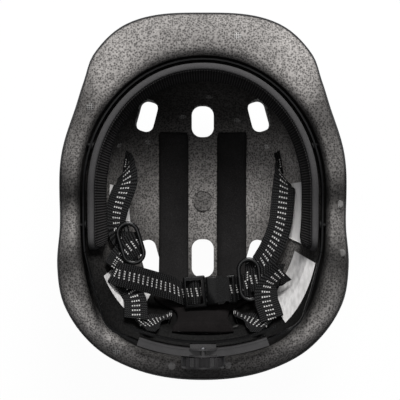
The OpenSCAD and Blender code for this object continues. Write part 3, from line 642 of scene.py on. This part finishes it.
photo_camera()
area_light("key", (0.2, 1.35, 1.25), 0.8, 48)
area_light("top", (0.0, 0.2, 1.9), 1.0, 6)
area_light("rear_fill", (-1.0, -1.3, 0.9), 1.2, 3)
world_light()
scene.view_settings.view_transform = "Standard"
floor()


# Shell and foam
slot_round, slot_steps = 0.42, 8
# A vent widens towards the outside: height and widening
vent_levels = [(-2, 3.2), (12, 1.8), (27, 0.3), (80, 0)]
vent_rear_share = 0.95
# The straps' slits, with half width and thickness, depth below the wall and rise above it
anchors = [((61, 26), (0, 1, 0)), ((25.5, -94), (0, 0, 1))]
slit_w, slit_t, slit_depth, slit_rise = 9.6, 1.4, 16.5, 6
# The wider pocket that holds the anchor below each slit
pocket_w, pocket_t, pocket_from, pocket_depth = 11.8, 4.3, 16.7, 60
# The brim rises to its crest, runs level and rolls off into the opening
crest, roll, crest_power, roll_drop = 0.62, 0.74, 0.85, 0.6
# The mark of the moulding plug, a shallow ring in the bowl's floor
plug_mark_y, plug_mark_r, plug_mark_rim, plug_mark_depth = -5, 7, 8.8, 0.8

# Steps in degrees round the helmet and up the skin, in shares across the rim, in degrees down the wall
phis = range(0, 360, 2)
th_steps = [*range(14, 63, 4), 65, 67.5, *range(70, 91, 2)]
rim_steps = [0.01, 0.03, 0.06, 0.1, 0.15, 0.21, 0.28, 0.36, 0.45, 0.54, 0.62, 0.68, 0.74, 0.79,
             0.84, 0.89, 0.93, 0.97, 1]
psi_steps = [86.5, 85.3, 84, 82.5, 81, 79.5, 78, 76, 74, 71, 68, *range(64, 3, -4)]


def rounded_slot(x, y, w, l, slant):
    r = w * slot_round
    ring = []
    for qx, qy, a0 in ((1, 1, 0), (-1, 1, 90), (-1, -1, 180), (1, -1, 270)):
        for k in range(slot_steps + 1):
            a = a0 + k * 90 / slot_steps
            ring.append((qx * (w / 2 - r), qy * (l / 2 - r), cos(a), sin(a)))
    rows = []
    for z, grow in vent_levels:
        row = []
        for cx, cy, nx, ny in ring:
            px = cx + nx * (r + grow)
            py = cy + ny * (r + grow)
            row.append((x + px * cos(slant) - py * sin(slant), y + px * sin(slant) + py * cos(slant), z))
        rows.append(row)
    return closed_rows("slot", rows)


def vent_cutter():
    parts = []
    for y in (vent_front_y, vent_rear_y):
        l = vent_front_l if y > 0 else vent_rear_l
        step = vent_step if y > 0 else 0
        parts.append(rounded_slot(0, y - step, vent_w, l, 0))
        for side in (-1, 1):
            x = side * vent_x * (1 if y > 0 else vent_rear_share)
            slant = side * (1 if y > 0 else -1) * vent_slant
            parts.append(rounded_slot(x, y + step, vent_side_w, l, slant))
    return joined(parts, "vents")


def box_cutter(p, x, z, lo, hi):
    y = np.cross(z, x)
    corners = []
    for cz in (lo[2], hi[2]):
        for cx, cy in ((lo[0], lo[1]), (hi[0], lo[1]), (hi[0], hi[1]), (lo[0], hi[1])):
            corners.append(p + x * cx + y * cy + z * cz)
    return closed_rows("box", [corners[:4], corners[4:]])


# An anchor's place, the direction of the strap's width, and the wall's inward direction
def anchor_frame(which, side):
    (ax, ay), hint = anchors[which]
    p = np.array([ax * side, ay, wall_z(ax, ay)])
    n = inward(p)
    return p, square_to(hint, n), n


def slit_cutters():
    parts = []
    for which in (0, 1):
        for side in (-1, 1):
            p, x, z = anchor_frame(which, side)
            parts.append(box_cutter(p, x, z, (-slit_w, -slit_t, -slit_depth), (slit_w, slit_t, slit_rise)))
            parts.append(box_cutter(p, x, z, (-pocket_w, -pocket_t, -pocket_depth),
                                    (pocket_w, pocket_t, -pocket_from)))
    return joined(parts, "slits")


def plug_mark_cutter():
    z0, z1 = bowl_z - plug_mark_depth, bowl_z + 8
    section = ((plug_mark_r, z0), (plug_mark_rim, z0), (plug_mark_rim, z1), (plug_mark_r, z1))
    turns = np.arange(0, 360, 7.5)
    return looped("ring", [[(r * cos(a), plug_mark_y + r * sin(a), z) for r, z in section] for a in turns])


def rim_shape(s):
    if s < crest:
        return sin(90 * s / crest) ** crest_power
    return 1 if s < roll else 1 - roll_drop * ((s - roll) / (1 - roll)) ** 2


def rim_row(s, t):
    row = []
    for phi in phis:
        r = mix(brim_r(phi) - t, opening_r(phi), s)
        row.append((r * cos(phi), r * sin(phi), edge_z(phi) + lip_h * rim_shape(s)))
    return row


def skin_rows(t):
    rows = [[(rest_r * k * cos(p), rest_r * k * sin(p), t) for p in phis] for k in (0.5, 1)]
    return rows + [[skin(p, th, t) for p in phis] for th in th_steps]


# Painted light and shade on the foam: round the brim by angle, what its right side keeps of that, and along
# the floor by y
brim_painted_lights = [[-90, 0.15], [-75, 0.4], [-60, 0.7], [-46, 0.65], [-38, 0.5], [-26, 0.16], [-12, 0.55],
              [0, 0.1], [14, 0.42], [26, 0.36], [38, 0.26], [50, 0.72], [66, 0.7], [90, 0.6]]
right_painted_shade = [[-60, 0.85], [-40, 0.8], [-20, 0.72], [-5, 1], [14, 1], [28, 0.62], [42, 1.05], [66, 1.05]]
floor_painted_shade = [[-84, 0.012], [-72, 0.04], [-58, 0.22], [-30, 0.42], [2, 0.8], [36, 0.42], [52, 0.2],
               [68, 0.08]]
# Painted shade on the steep walls, darker towards the rear, and how much darker the plug mark's disc is
wall_painted_shade, plug_mark_tone = (0.012, 0.075), 0.6
# Painted shade in strips along the brim's inner and outer edges
inner_shade_strip, outer_shade_strip, inner_painted_shade, outer_painted_shade = 4.5, 2.5, 0.45, 0.4


# Painted light and shade on the brim by angle and by share across it, with a painted highlight band on the
# rear brim and painted shade at its edges
def brim_painted_light(phi, s, x):
    fold = folded(phi)
    span = brim_r(phi) - opening_r(phi)
    tone = curve(brim_painted_lights, fold)
    tone *= mix(1, curve(right_painted_shade, fold), ease(x / 40))
    # A painted highlight band across the rear brim
    painted_highlight_line = mix(0.3, 0.65, clamp((-38 - fold) / 22))
    band = 0.4 + math.exp(-((s - painted_highlight_line) / 0.28) ** 2)
    tone *= mix(1, band, ease((-25 - fold) / 18))
    tone *= mix(inner_painted_shade, 1, ease((1 - s) * span / inner_shade_strip))
    return tone * mix(outer_painted_shade, 1, clamp(s * span / outer_shade_strip))


# Painted light and shade anywhere on the foam: the brim's, painted shade on the steep walls, and on the
# floor painted shade towards the front and rear walls, lighter to the right
def foam_painted_light(x, y, z):
    phi = math.degrees(math.atan2(y, x))
    s = (brim_r(phi) - math.hypot(x, y)) / (brim_r(phi) - opening_r(phi))
    if s < 1.02 and z > edge_z(phi) - 1:
        return brim_painted_light(phi, s, x)
    down = clamp((rim_z(phi) - z) / 60)
    wall = mix(*wall_painted_shade, ease(sin(phi) + 0.3))
    low = curve(floor_painted_shade, y) * (0.6 + 0.8 * clamp((x + 50) / 100))
    if math.hypot(x, y - plug_mark_y) < plug_mark_r + 0.1:
        low *= plug_mark_tone
    return mix(wall, low, ease(1.25 * down - 0.2))


# Stores the foam's painted light and shade on each vertex as its tone
def paint_light_and_shade(obj, lift=0.0):
    tones = obj.data.attributes.new("tone", "FLOAT", "POINT")
    for v in obj.data.vertices:
        tones.data[v.index].value = foam_painted_light(*(v.co / MM)) + lift


def helmet_shell():
    shell = closed_rows("helmet_shell", skin_rows(0) + skin_rows(shell_t)[::-1])
    cut(shell, vent_cutter())
    smoothed(shell, 38)
    finish_piece(shell, shell_mat, "helmet", "outer_shell")


def bead_foam():
    t = shell_t + liner_gap
    rows = skin_rows(t) + [rim_row(s, t) for s in rim_steps]
    rows += [[tuple(wall_psi(p, psi)) for p in phis] for psi in psi_steps]
    liner = closed_rows("bead_foam_liner", rows)
    cut(liner, vent_cutter())
    cut(liner, slit_cutters())
    cut(liner, plug_mark_cutter())
    paint_light_and_shade(liner)
    smoothed(liner, 38)
    finish_piece(liner, foam_mat, "helmet", "foam_liner")


# Dotted marks that the mould's pins leave in the foam
mark_places = [(4.9, 77), (-15.7, 62), (27.3, 59), (50.4, 38), (-43.6, 42), (-84, 65.8), (26, 119.3),
               (-65, 38.5), (-18, -102.5), (24.3, -99.5), (101.8, -6.3), (103.3, -42.7), (-63.9, -115.5),
               (-23, -126.6), (18.6, -125.9)]
# A mark's section, as radius and height
mark_section = ((2.9, -0.25), (2.7, 0), (1.5, 0.04), (0.3, 0.04))
brim_lift, wall_lift, mark_tone = 0.15, 0.25, 0.06


def pin_mark(x, y):
    phi = math.degrees(math.atan2(y, x))
    r = math.hypot(x, y)
    if r > opening_r(phi):
        s = (brim_r(phi) - r) / (brim_r(phi) - opening_r(phi))
        p = np.array([x, y, edge_z(phi) + lip_h * rim_shape(s) + brim_lift])
        n = np.array([0, 0, 1.0])
    else:
        p = off_wall((x, y, wall_z(x, y)), wall_lift)
        n = inward(p)
    u = unit(np.cross(n, (0, 1, 0.1)))
    v = np.cross(n, u)
    rows = [[p + d * n + q * (cos(a) * u + sin(a) * v) for a in range(0, 360, 20)] for q, d in mark_section]
    return closed_rows("mark", rows)


def mould_marks():
    # The marks take the foam's painted light and shade, lifted by mark_tone
    marks = joined([pin_mark(x, y) for x, y in mark_places], "mould_marks")
    paint_light_and_shade(marks, mark_tone)
    finish_piece(marks, mark_mat, "helmet", "foam_liner")


helmet_shell()
bead_foam()
mould_marks()


# Pads: how far they lie from the wall, and their ends in degrees or millimetres
brow_from, brow_to, brow_taper, brow_top = -27, 207, 7, 88
brow_end_psi, brow_end_lift = 75, 4.2
crown_x, crown_half, crown_front, crown_back, crown_lift = 23.5, 11.6, 51, -75, 1.2
nape_low, nape_high, nape_lift = 51, 77, 1.4
# The nape pad's half width by height, both in degrees
nape_knots = [[50, 25], [57, 25], [61, 13.2], [80, 13]]
least_rise = 0.3
# The brow pad's back and open face, as height in degrees and distance from the wall
brow_back = [(86.5, 6), (84, 5.7), (79, 5.4), (75, 3.2), (73, 2.2), (68, 1.3), (63.5, 0.6)]
brow_face = [(62, 1.4), (63.5, pad_t - 0.2), (66, pad_t + 0.7), (69, pad_t + 1.8), (73, pad_t + 3.2),
             (76, pad_t + 4.1), (79, pad_t + 5), (82.5, pad_t + 5.5), (85.5, pad_t + 5.8),
             (86.4, pad_t + 5.5), (87, pad_t + 4.8)]
brow_angles = np.linspace(brow_from + 0.35, brow_to - 0.35, 150)


# The height of a rounded end, a share d along it
def taper(d):
    return 1.0 if d >= 1 else math.sqrt(1 - (1 - max(0.05, d)) ** 2)


def brow_psi(phi, psi):
    share = mix(0.85, 0.69, ease(cos(phi) / 0.3))
    return brow_top - (brow_top - psi) * mix(share, 0.65, ease((sin(phi) - 0.25) / 0.4))


def brow_row(phi, loop, apart=0.0):
    s = taper(min(phi - brow_from, brow_to - phi) / brow_taper)
    row = []
    for psi, d in loop:
        p = wall_psi(phi, brow_psi(phi, mix(brow_end_psi, psi, s)))
        row.append(off_wall(p, mix(brow_end_lift, d, mix(0.5, 1, s)) + apart * (1 - s)))
    return row


def uv_rows(obj, along, across, swapped=False):
    layer = obj.data.uv_layers.new(name="UVMap")
    for loop in obj.data.loops:
        j, i = divmod(loop.vertex_index, len(across))
        layer.data[loop.index].uv = (across[i], along[j]) if swapped else (along[j], across[i])


def running_length(points):
    lengths = [0.0]
    for a, b in zip(points, points[1:]):
        lengths.append(lengths[-1] + np.linalg.norm(np.array(b) - np.array(a)) * MM)
    return lengths


def brow_core():
    rows = [brow_row(phi, brow_back + brow_face) for phi in brow_angles]
    foam = closed_rows("brow_pad_core", rows)
    finish_piece(foam, cut_mat, "helmet", "brow_pad_foam")


def brow_cloth():
    apart, top = 0.3, 85.2
    inner = [(61.5, 1.7)] + [(psi, d + apart) for psi, d in brow_face[1:8]]
    inner.append((top, pad_t + apart + 5.8))
    outer = []
    for k, (psi, d) in enumerate(inner[::-1]):
        swell = 0.7 * math.sin(math.pi * clamp((top - psi) / 22)) ** 0.7
        outer.append((psi - (0.7 if k == len(inner) - 1 else 0), d + 0.75 + swell))
    rows = []
    for phi in brow_angles:
        face = [(psi, d + 0.25 * noise.noise(Vector((phi * 0.09, psi * 0.06, 3)))) for psi, d in outer]
        rows.append(brow_row(phi, inner + face, 0.9))
    cloth = closed_rows("brow_pad_cloth", rows)
    uv_rows(cloth, running_length([row[-4] for row in rows]), running_length(rows[len(rows) // 2]))
    finish_piece(cloth, rib_mat, "helmet", "brow_pad_fabric")


def crown_pad(side):
    ys = np.concatenate([np.linspace(crown_front, 44, 8), np.linspace(42, -66, 46),
                         np.linspace(-68, crown_back, 8)])
    spread = np.linspace(-1, 1, 15)
    rows = []
    for y in ys:
        s = taper(min(crown_front - y, y - crown_back) / 5 + 0.1)
        hw = crown_half * mix(0.86, 1, s) * (1 + 0.02 * noise.noise(Vector((y * 0.06, side * 3, 1))))
        row = []
        for a in spread:
            x = side * crown_x + a * hw
            row.append(off_wall((x, y, wall_z(x, y)), crown_lift))
        for a in spread[::-1]:
            x = side * crown_x + a * hw
            wave = 0.3 * noise.noise(Vector((x * 0.12, y * 0.05, 7)))
            rise = (pad_t + 0.4 + wave) * s * (1 - 0.62 * abs(a) ** 3.2)
            row.append(off_wall((x, y, wall_z(x, y)), crown_lift + max(least_rise, rise)))
        rows.append(row)
    name = "left" if side < 0 else "right"
    pad = closed_rows("crown_pad_cloth_" + name, rows)
    finish_piece(pad, pad_mat, "helmet", "crown_pad_" + name)


def nape_pad():
    spread = np.linspace(-1, 1, 31)
    rows = []
    for psi in np.linspace(nape_low, nape_high, 34):
        half = curve(nape_knots, psi)
        s = taper(min(psi - nape_low, nape_high - psi) / 2.2 + 0.1)
        row = [off_wall(wall_psi(-90 + a * half, psi), nape_lift) for a in spread]
        for a in spread[::-1]:
            p = wall_psi(-90 + a * half, psi)
            quilt = 0.5 * math.cos(math.radians((psi - 64) * 27))
            quilt += 0.35 * noise.noise(Vector((a * 3, psi * 0.3, 2)))
            rise = (pad_t + quilt) * s * (1 - 0.6 * abs(a) ** 3)
            row.append(off_wall(p, nape_lift + max(least_rise, rise)))
        rows.append(row)
    pad = closed_rows("nape_pad_cloth", rows)
    finish_piece(pad, nape_mat, "helmet", "nape_pad")


brow_core()
brow_cloth()
crown_pad(-1)
crown_pad(1)
nape_pad()


# Webbing; a station is (place, direction of the width, direction that the face looks)
web_thick, web_sag, run_step = 1.25, 0.25, 31.7


def smooth_path(stations, per):
    pts = [np.asarray(s[0], float) for s in stations]
    ws = [unit(s[1]) for s in stations]
    ns = [unit(s[2]) for s in stations]
    out = []
    n = len(pts)
    for i in range(n - 1):
        p0 = pts[max(0, i - 1)]
        p1, p2 = pts[i], pts[i + 1]
        p3 = pts[min(n - 1, i + 2)]
        for k in range(per):
            t = k / per
            q = 0.5 * ((2 * p1) + (-p0 + p2) * t + (2 * p0 - 5 * p1 + 4 * p2 - p3) * t * t
                       + (-p0 + 3 * p1 - 3 * p2 + p3) * t ** 3)
            e = ease(t)
            out.append((q, unit(mix(ws[i], ws[i + 1], e)), unit(mix(ns[i], ns[i + 1], e))))
    out.append((pts[-1], ws[-1], ns[-1]))
    return out


def webbing(name, stations, start=0.0, per=8):
    path = smooth_path(stations, per)
    spread = np.linspace(-1, 1, 9)
    rows = []
    along = []
    length = start
    for k, (p, w, n) in enumerate(path):
        if k:
            length += float(np.linalg.norm(p - path[k - 1][0]))
        along.append(length * MM)
        n = square_to(n, w)
        sag = web_sag * noise.noise(Vector((length * 0.07, len(name) * 1.7, 0)))
        row = []
        for face, order in ((1, spread), (-1, spread[::-1])):
            for a in order:
                out = face * web_thick / 2 * (1 - 0.5 * abs(a) ** 8) + sag * (1 - a * a)
                row.append(p + w * a * web_w / 2 + n * out)
        rows.append(row)
    obj = closed_rows(name, rows)
    uv_rows(obj, along, [(a + 1) / 2 for a in (*spread, *spread[::-1])], True)
    return obj


def strap(name, node, runs):
    pieces = [webbing(name + "_run", run, k * run_step) for k, run in enumerate(runs)]
    obj = joined(pieces, name) if len(pieces) > 1 else pieces[0]
    obj.name = name
    smoothed(obj, 50)
    finish_piece(obj, web_mat, "helmet", node)


def ang(a):
    return (cos(a), sin(a), 0)


def up(p, b):
    return unit(mix(inward(p), np.array([0, 0, 1.0]), b))


# A width may be given as an angle seen from above, a face as a share from the wall's own to straight up
def stations(rows):
    out = []
    for p, w, n in rows:
        w = ang(w) if isinstance(w, (int, float)) else w
        n = up(p, n) if isinstance(n, (int, float)) else n
        n = unit(n)
        out.append((p, square_to(w, n), n))
    return out


def slit(which, side, depths, flip):
    p, w, n = anchor_frame(which, side)
    face = -side * np.cross(n, w)
    return [(p + d * n, flip * w, face) for d in depths]


# The buckle's own axes: u runs from the plug into the socket
buckle_at, buckle_turn = np.array([2.4, -73.4, 82]), 5
socket_l, frame_l = 23, 17
bar_u = -frame_l / 2


def buckle_point(u, v, w):
    c, d = cos(buckle_turn), sin(buckle_turn)
    return buckle_at + np.array([u * c - v * d, u * d + v * c, w])


def plug_webbing():
    across = 90 + buckle_turn
    chin = webbing("chin_webbing_left", stations([
        ((-64, -59, 105), 75, 0.9), ((-56, -61, 102.1), 75, 0.95), ((-44, -64.5, 95), 75, 1),
        ((-31, -68.7, 86.6), 78, 1), ((-22.5, -71.6, 81.4), 86, 1),
        (buckle_point(-frame_l - 1.6, 0, -3.7), across, 1),
        (buckle_point(-frame_l + 2.5, 0, -3.6), across, (-0.3, 0, 1)),
        (buckle_point(bar_u - 2.2, 0, 0.1), across, (-0.5, 0, 1)),
        (buckle_point(bar_u, 0, 0.55), across, 1),
        (buckle_point(bar_u + 2.1, 0, 0.2), across, (0.5, 0, 1)),
        (buckle_point(bar_u + 4, 0, -2.6), across, (1, 0, 0.35)),
        (buckle_point(bar_u + 4.3, 0, -4.6), across, (1, 0, 0.1))]), per=6)
    sharpen(chin, 50)
    chin.data.materials.append(web_mat)
    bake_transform(chin)
    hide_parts("chin_strap_left")


strap("front_webbing_left", "front_strap_left", [slit(0, -1, (-16, -8, 1, 4), 1) + stations([
    ((-59.5, 19, 66), (0.7, 0.6, 0.1), (-0.35, 0.25, 0.9)),
    ((-58.8, 13.5, 69.5), 25, (-0.1, 0.1, 1)),
    ((-60.5, 6.5, 72), (0.97, -0.1, -0.12), (0.12, 0, 1)),
    ((-63.3, -1, 74.5), (0.9, -0.32, -0.25), (0.3, 0, 0.95)),
    ((-65.8, -9, 76.3), (0.87, -0.38, -0.3), (0.35, 0, 0.9)),
    ((-67, -16, 77.8), (0.82, -0.25, -0.45), (0.5, 0, 0.85)),
    ((-67, -22.5, 79), (0.68, -0.1, -0.68), (0.7, 0.1, 0.7)),
    ((-66, -28.2, 79.4), (0.55, 0.5, -0.55), (0.6, 0.2, 0.75)),
    ((-63.8, -32.4, 79), (0.1, 0.95, -0.1), (0.1, 0.1, 1)),
    ((-61, -35.5, 81), 107, 1), ((-47.5, -36.7, 81), 107, 1)])])
strap("front_webbing_right", "front_strap_right", [slit(0, 1, (-16, -8, 1, 4), 1) + stations([
    ((60, 20, 66.5), 112, 0.5), ((62.3, 14, 70), 140, 0.65), ((62.8, 7, 72.5), 164, 0.8),
    ((62.2, 0, 74.3), 178, 0.88), ((61.3, -9, 76.3), 178, 0.92), ((60.3, -18, 78.2), 172, 0.95),
    ((58, -27.5, 79.6), 160, 1), ((53.8, -37.5, 80.8), 149, 1), ((49.3, -46, 81.2), 139, 1),
    ((44, -53, 81.3), 122, 1), ((39.3, -58.8, 81.6), 102, 1), ((33.3, -62.3, 81.6), 97, 1)])])
strap("rear_webbing_left", "rear_strap_left", [
    stations([((-48.4, -35.9, 82.9), -68, 1), ((-56.5, -39.5, 82.9), -60, 1),
              ((-61.5, -45.8, 82.7), -50, 1), ((-64.6, -50.2, 86.4), -43, 0.85),
              ((-66, -53, 95.5), -40, 0.75), ((-67.2, -56, 101), -40, 0.7)]),
    stations([((-67.8, -57.2, 102.6), 56, 0.65), ((-62.4, -61.4, 100.4), 52, 0.6),
              ((-57.8, -66.8, 97.6), 40, 0.6), ((-54.3, -73, 95.9), 28, 0.6), ((-51.4, -79, 98.8), 8, 0.6),
              ((-50.6, -86, 103.8), 0, 0.6), ((-50.3, -92.5, 108.9), 0, 0.6)]),
    stations([((-48.5, -95.5, 109.8), 114, 0.4), ((-42.5, -96.7, 106), 114, 0.4),
              ((-37, -95.5, 99.8), (-0.3, 0.6, -0.7), 0.3),
              ((-30.8, -93.3, 90.5), (0, 0.2, -1), (0.45, 0.9, 0.2))])
    + slit(1, -1, (3.2, 0.6, -8, -16), -1)])
strap("rear_webbing_right", "rear_strap_right", [
    stations([((36, -64.5, 83.4), 96, 1), ((43, -64, 83.3), 94, 1), ((49, -63, 83.6), 90, 1),
              ((54, -61.5, 89), 84, 0.85), ((60, -60, 98), 78, 0.7)]),
    stations([((61, -57.5, 99.2), 136, 0.7), ((55, -63, 95), 146, 0.6), ((48.8, -70, 92.8), 172, 0.6),
              ((48.2, -79, 97), 194, 0.6), ((50.6, -87, 103.2), 197, 0.6), ((52.2, -93, 108.3), 197, 0.6)]),
    stations([((49.5, -96.5, 108), 66, 0.4), ((43, -97, 104.5), 66, 0.4),
              ((37, -95, 99), (0.3, 0.6, -0.7), 0.3),
              ((30.5, -92.6, 90.5), (0, 0.2, -1), (-0.45, 0.9, 0.2))])
    + slit(1, 1, (5, 1, -8, -16), -1)])
plug_webbing()
strap("chin_webbing_right", "chin_strap_right", [stations([
    (buckle_point(socket_l - 4.6, 0, -0.8), 90 + buckle_turn, 1),
    (buckle_point(socket_l + 1.4, 0, -0.7), 92 + buckle_turn, 1), ((34, -68, 82.4), 97, 1)])])


# Sliders: a domed rim round the webbing and a bar below it
slider_l, slider_w, slider_rim, slider_t, slider_swell = 34, 18.5, 3, 2.4, 0.3
slider_steps, slider_bar, slider_post = 16, 2, 1.6


def frame_at(p, n, w):
    n = unit(n)
    x = square_to(w, n)
    y = np.cross(n, x)
    p = np.array(p, float)
    return lambda a, b, c: p + x * a + y * b + n * c


def soft_box(at, x0, x1, y0, y1, z0, z1, r=0.5):
    rows = []
    low_edge = [(z0, r), (z0 + 0.3 * r, 0.3 * r), (z0 + r, 0)]
    high_edge = [(z1 - r, 0), (z1 - 0.3 * r, 0.3 * r), (z1, r)]
    for z, inset in low_edge + high_edge:
        rows.append([at(*q, z) for q in rounded_outline(x0, x1, y0, y1, max(r, 0.6), inset)])
    return closed_rows("soft_box", rows)


def rounded_outline(x0, x1, y0, y1, r, inset):
    n = 5
    out = []
    q = max(0.05, r - inset)
    corners = ((x1 - r, y1 - r, 0), (x0 + r, y1 - r, 90), (x0 + r, y0 + r, 180), (x1 - r, y0 + r, 270))
    for cx, cy, a0 in corners:
        for k in range(n + 1):
            a = a0 + 90 * k / n
            out.append((cx + q * cos(a), cy + q * sin(a)))
    return out


def slider(side, place, angle, node):
    at = frame_at(place, up(place, 0.95), ang(angle))
    gap = web_t + 0.5
    half = (slider_l - slider_w) / 2
    r = (slider_w - slider_rim) / 2
    path = [(half + r * cos(a), r * sin(a), cos(a), sin(a)) for a in np.linspace(-90, 90, 25)]
    path += [(-half + r * cos(a), r * sin(a), cos(a), sin(a)) for a in np.linspace(90, 270, 25)]
    rows = []
    for x, y, nx, ny in path:
        row = []
        for k in range(slider_steps):
            a = k * 360 / slider_steps
            q = 0.5 * (slider_rim + slider_swell) * math.copysign(abs(cos(a)) ** 0.8, cos(a))
            h = 0.5 * (slider_t + slider_swell) * math.copysign(abs(sin(a)) ** 0.8, sin(a))
            row.append(at(x + nx * q, y + ny * q, gap + slider_t / 2 + h))
        rows.append(row)
    bar, post, end = slider_bar, slider_post, slider_l / 2 - slider_bar
    parts = [looped("rim", rows), soft_box(at, -end, end, -bar, bar, -gap - post, -gap)]
    for m in (-end, end):
        parts.append(soft_box(at, m - post, m + post, -bar, bar, -gap - post, gap + 0.4))
    obj = joined(parts, "strap_slider_" + side)
    sharpen(obj, 60)
    finish_piece(obj, slider_mat, "helmet", node)


slider("left", (-55.5, -36.5, 82), -73, "slider_left")
slider("right", (36, -64.5, 82.4), -84, "slider_right")

# Buckle with rounded edges
socket_w, socket_t, socket_wall, frame_w, frame_rim = 22, 8, 1.2, 24.6, 2
arm_l, pad_l, window_x, bar_t, arm_v = 14, 6, 8, 2.2, 7.6
socket_inner, slack = socket_w / 2 - socket_wall, web_w / 2 + 0.3


def buckle_box(u0, u1, v0, v1, w0, w1, r=0.1):
    return soft_box(buckle_point, u0, u1, v0, v1, w0, w1, r)


def buckle_socket():
    half_w, half_t = socket_w / 2, socket_t / 2
    socket = buckle_box(0.3, socket_l + 0.3, -half_w, half_w, -half_t, half_t, 1.5)
    cut(socket, buckle_box(-1, window_x + arm_l - 5, -socket_inner, socket_inner, -2.6, 2.6))
    cut(socket, buckle_box(socket_l - 5.2, socket_l - bar_t, -slack, slack, -5, 5))
    for s in (-1, 1):
        v0, v1 = sorted((s * (socket_inner - 1), s * (socket_inner + 3)))
        cut(socket, buckle_box(window_x, window_x + pad_l + 3, v0, v1, -5, 5))
    cut(socket, buckle_box(socket_l - bar_t - 1, socket_l + 2, -slack, slack, -1.9, 0.4))
    smoothed(socket, 40)
    socket.name = "buckle_socket_moulding"
    finish_piece(socket, nylon_mat, "helmet", "buckle_socket")


def buckle_plug():
    hoop = buckle_box(-frame_l, 0, -frame_w / 2, frame_w / 2, -2.5, 2.5, 1.2)
    cut(hoop, buckle_box(-frame_l + frame_rim, -2.6, -slack, slack, -4, 4))
    parts = [hoop, buckle_box(bar_u - 1.2, bar_u + 1.2, -web_w / 2 - 1, web_w / 2 + 1, -2.4, -0.8, 0.5),
             buckle_box(-1, 13, -2, 2, -1.6, 1.6, 0.5)]
    for v in (-arm_v, arm_v):
        parts.append(buckle_box(-1, 2.2, v - 2, v + 2, -2, 2, 0.5))
    plug = joined(parts, "buckle_plug_moulding")
    smoothed(plug, 40)
    finish_piece(plug, nylon_mat, "plug", "buckle_plug")


buckle_socket()
buckle_plug()


# Racks: a plate with teeth inside the housing, and a band that bends between it and the ring
fit_r, fit_back, rack_gap, rack_t, rack_h = 138, 114.3, 0.4, 1.2, 17
tooth_m, pinion_teeth, pressure, rack_travel = 1, 10, 30, 20
# How far the teeth run on past the travel, and back behind the pinion
teeth_past, teeth_before = 8, 6.4
# The plate's ends and the band's start in degrees, and how far the band bows inward
rack_out, rack_in, band_from, band_bow = 28.5, 5.5, -25.5, 2.5
ring_gap, ring_t, ring_h, ring_inset = 3, 1.2, 9, 10
dial_gap, dial_d = 1.5, 33
fit_y, fit_z = fit_r - fit_back, rim_h + lip_h + dial_gap + dial_d / 2
pitch_r = tooth_m * pinion_teeth / 2
tooth_pitch = math.pi * tooth_m
addendum, dedendum, backlash = 0.75 * tooth_m, 1.15 * tooth_m, 0.25


def tooth_edge(arc):
    near = abs(arc - tooth_pitch * round(arc / tooth_pitch))
    lean = math.tan(math.radians(pressure))
    half = tooth_pitch / 4 - backlash / 2
    rise = (half + dedendum * lean - near) / lean
    return pitch_r + dedendum - max(0, min(dedendum + addendum, rise))


def rack_inner(side):
    return fit_r + (rack_gap / 2 if side < 0 else -rack_gap / 2 - rack_t)


def rack_plate(side):
    r = rack_inner(side)
    turn = math.degrees(1 / (r + rack_t / 2))
    first = -rack_out if side < 0 else -rack_in
    last = first + rack_out + rack_in
    low = -rack_travel * turn - teeth_past * turn if side < 0 else -teeth_before * turn
    high = teeth_before * turn if side < 0 else rack_travel * turn + teeth_past * turn
    free = pitch_r + addendum + 0.4
    angles = np.concatenate([np.linspace(first, low - 0.01, 20), np.arange(low, high, 0.25 * turn), [high],
                             np.linspace(high + 0.01, last, 20)])
    halves = []
    for part in (1, -1):
        rows = []
        for a in angles:
            edge = tooth_edge(a / turn) if part == -side else free
            edge = 0 if a < low or a > high else edge
            ring = ((r, edge), (r + rack_t, edge), (r + rack_t, rack_h / 2), (r, rack_h / 2))
            rows.append([(q * sin(a), fit_y - q * cos(a), fit_z + part * z) for q, z in ring])
        halves.append(closed_rows("rack_half", rows, False))
    return joined(halves, "rack_plate")


def rack_band(side):
    r = rack_inner(side) + rack_t / 2
    start = (r * sin(rack_out - 0.3), fit_y - r * cos(rack_out - 0.3))
    phi0 = math.degrees(math.atan2(start[1], start[0]))
    rows = []
    for t in np.linspace(0, 1, 37):
        phi = mix(band_from - 0.3, phi0, t)
        free = opening_r(phi) - ring_gap - band_bow * sin(180 * t)
        q = mix(free, math.hypot(*start), ease(t * 3 - 2))
        z = mix(rim_z(phi) - ring_inset, fit_z, ease(t))
        row = []
        for a, b in ((-1, -0.9), (-0.6, -1), (0.6, -1), (1, -0.9), (1, 0.9), (0.6, 1), (-0.6, 1), (-1, 0.9)):
            w = q + a * ring_t / 2
            row.append((side * w * cos(phi), w * sin(phi), z + b * ring_h / 2))
        rows.append(row)
    return closed_rows("rack_band", rows), rows[0][0], rows[-1][0]


def rack(side, name):
    plate = rack_plate(side)
    plate.name = "rack_plate_" + name
    finish_piece(plate, band_mat, name + "_rack", "rack_" + name)
    band, first, last = rack_band(side)
    band.name = "rack_band_" + name
    sharpen(band, 50)
    band.data.materials.append(band_mat)
    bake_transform(band)
    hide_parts("rack_" + name)


rack(-1, "left")
rack(1, "right")


# CAD pieces that keep their shape
looks = [
    (hook_mat, ["pad_fasteners"]),
    # The front labels take the painted-light copy of the paper
    (lit_front_paper_mat, ["label_left_front", "label_right_front"]),
    (paper_mat, ["label_left_rear", "label_right_rear"]),
    (band_mat, ["ring_band", "nape_band"]),
    (pin_mat, ["ring_pins"]),
    (grey_mat, ["housing_cover", "housing_back"]),
    (dial_mat, ["dial_knob"]),
    (gear_mat, ["dial_pinion"]),
    (steel_mat, ["housing_screws", "dial_screw", "click_spring"]),
    (nylon_mat, ["front_anchors", "rear_anchors", "plug_arm_front", "plug_arm_rear"])]
for material, names in looks:
    for name in names:
        slots = nodes[name].data.materials
        if slots:
            slots[0] = material
        else:
            slots.append(material)
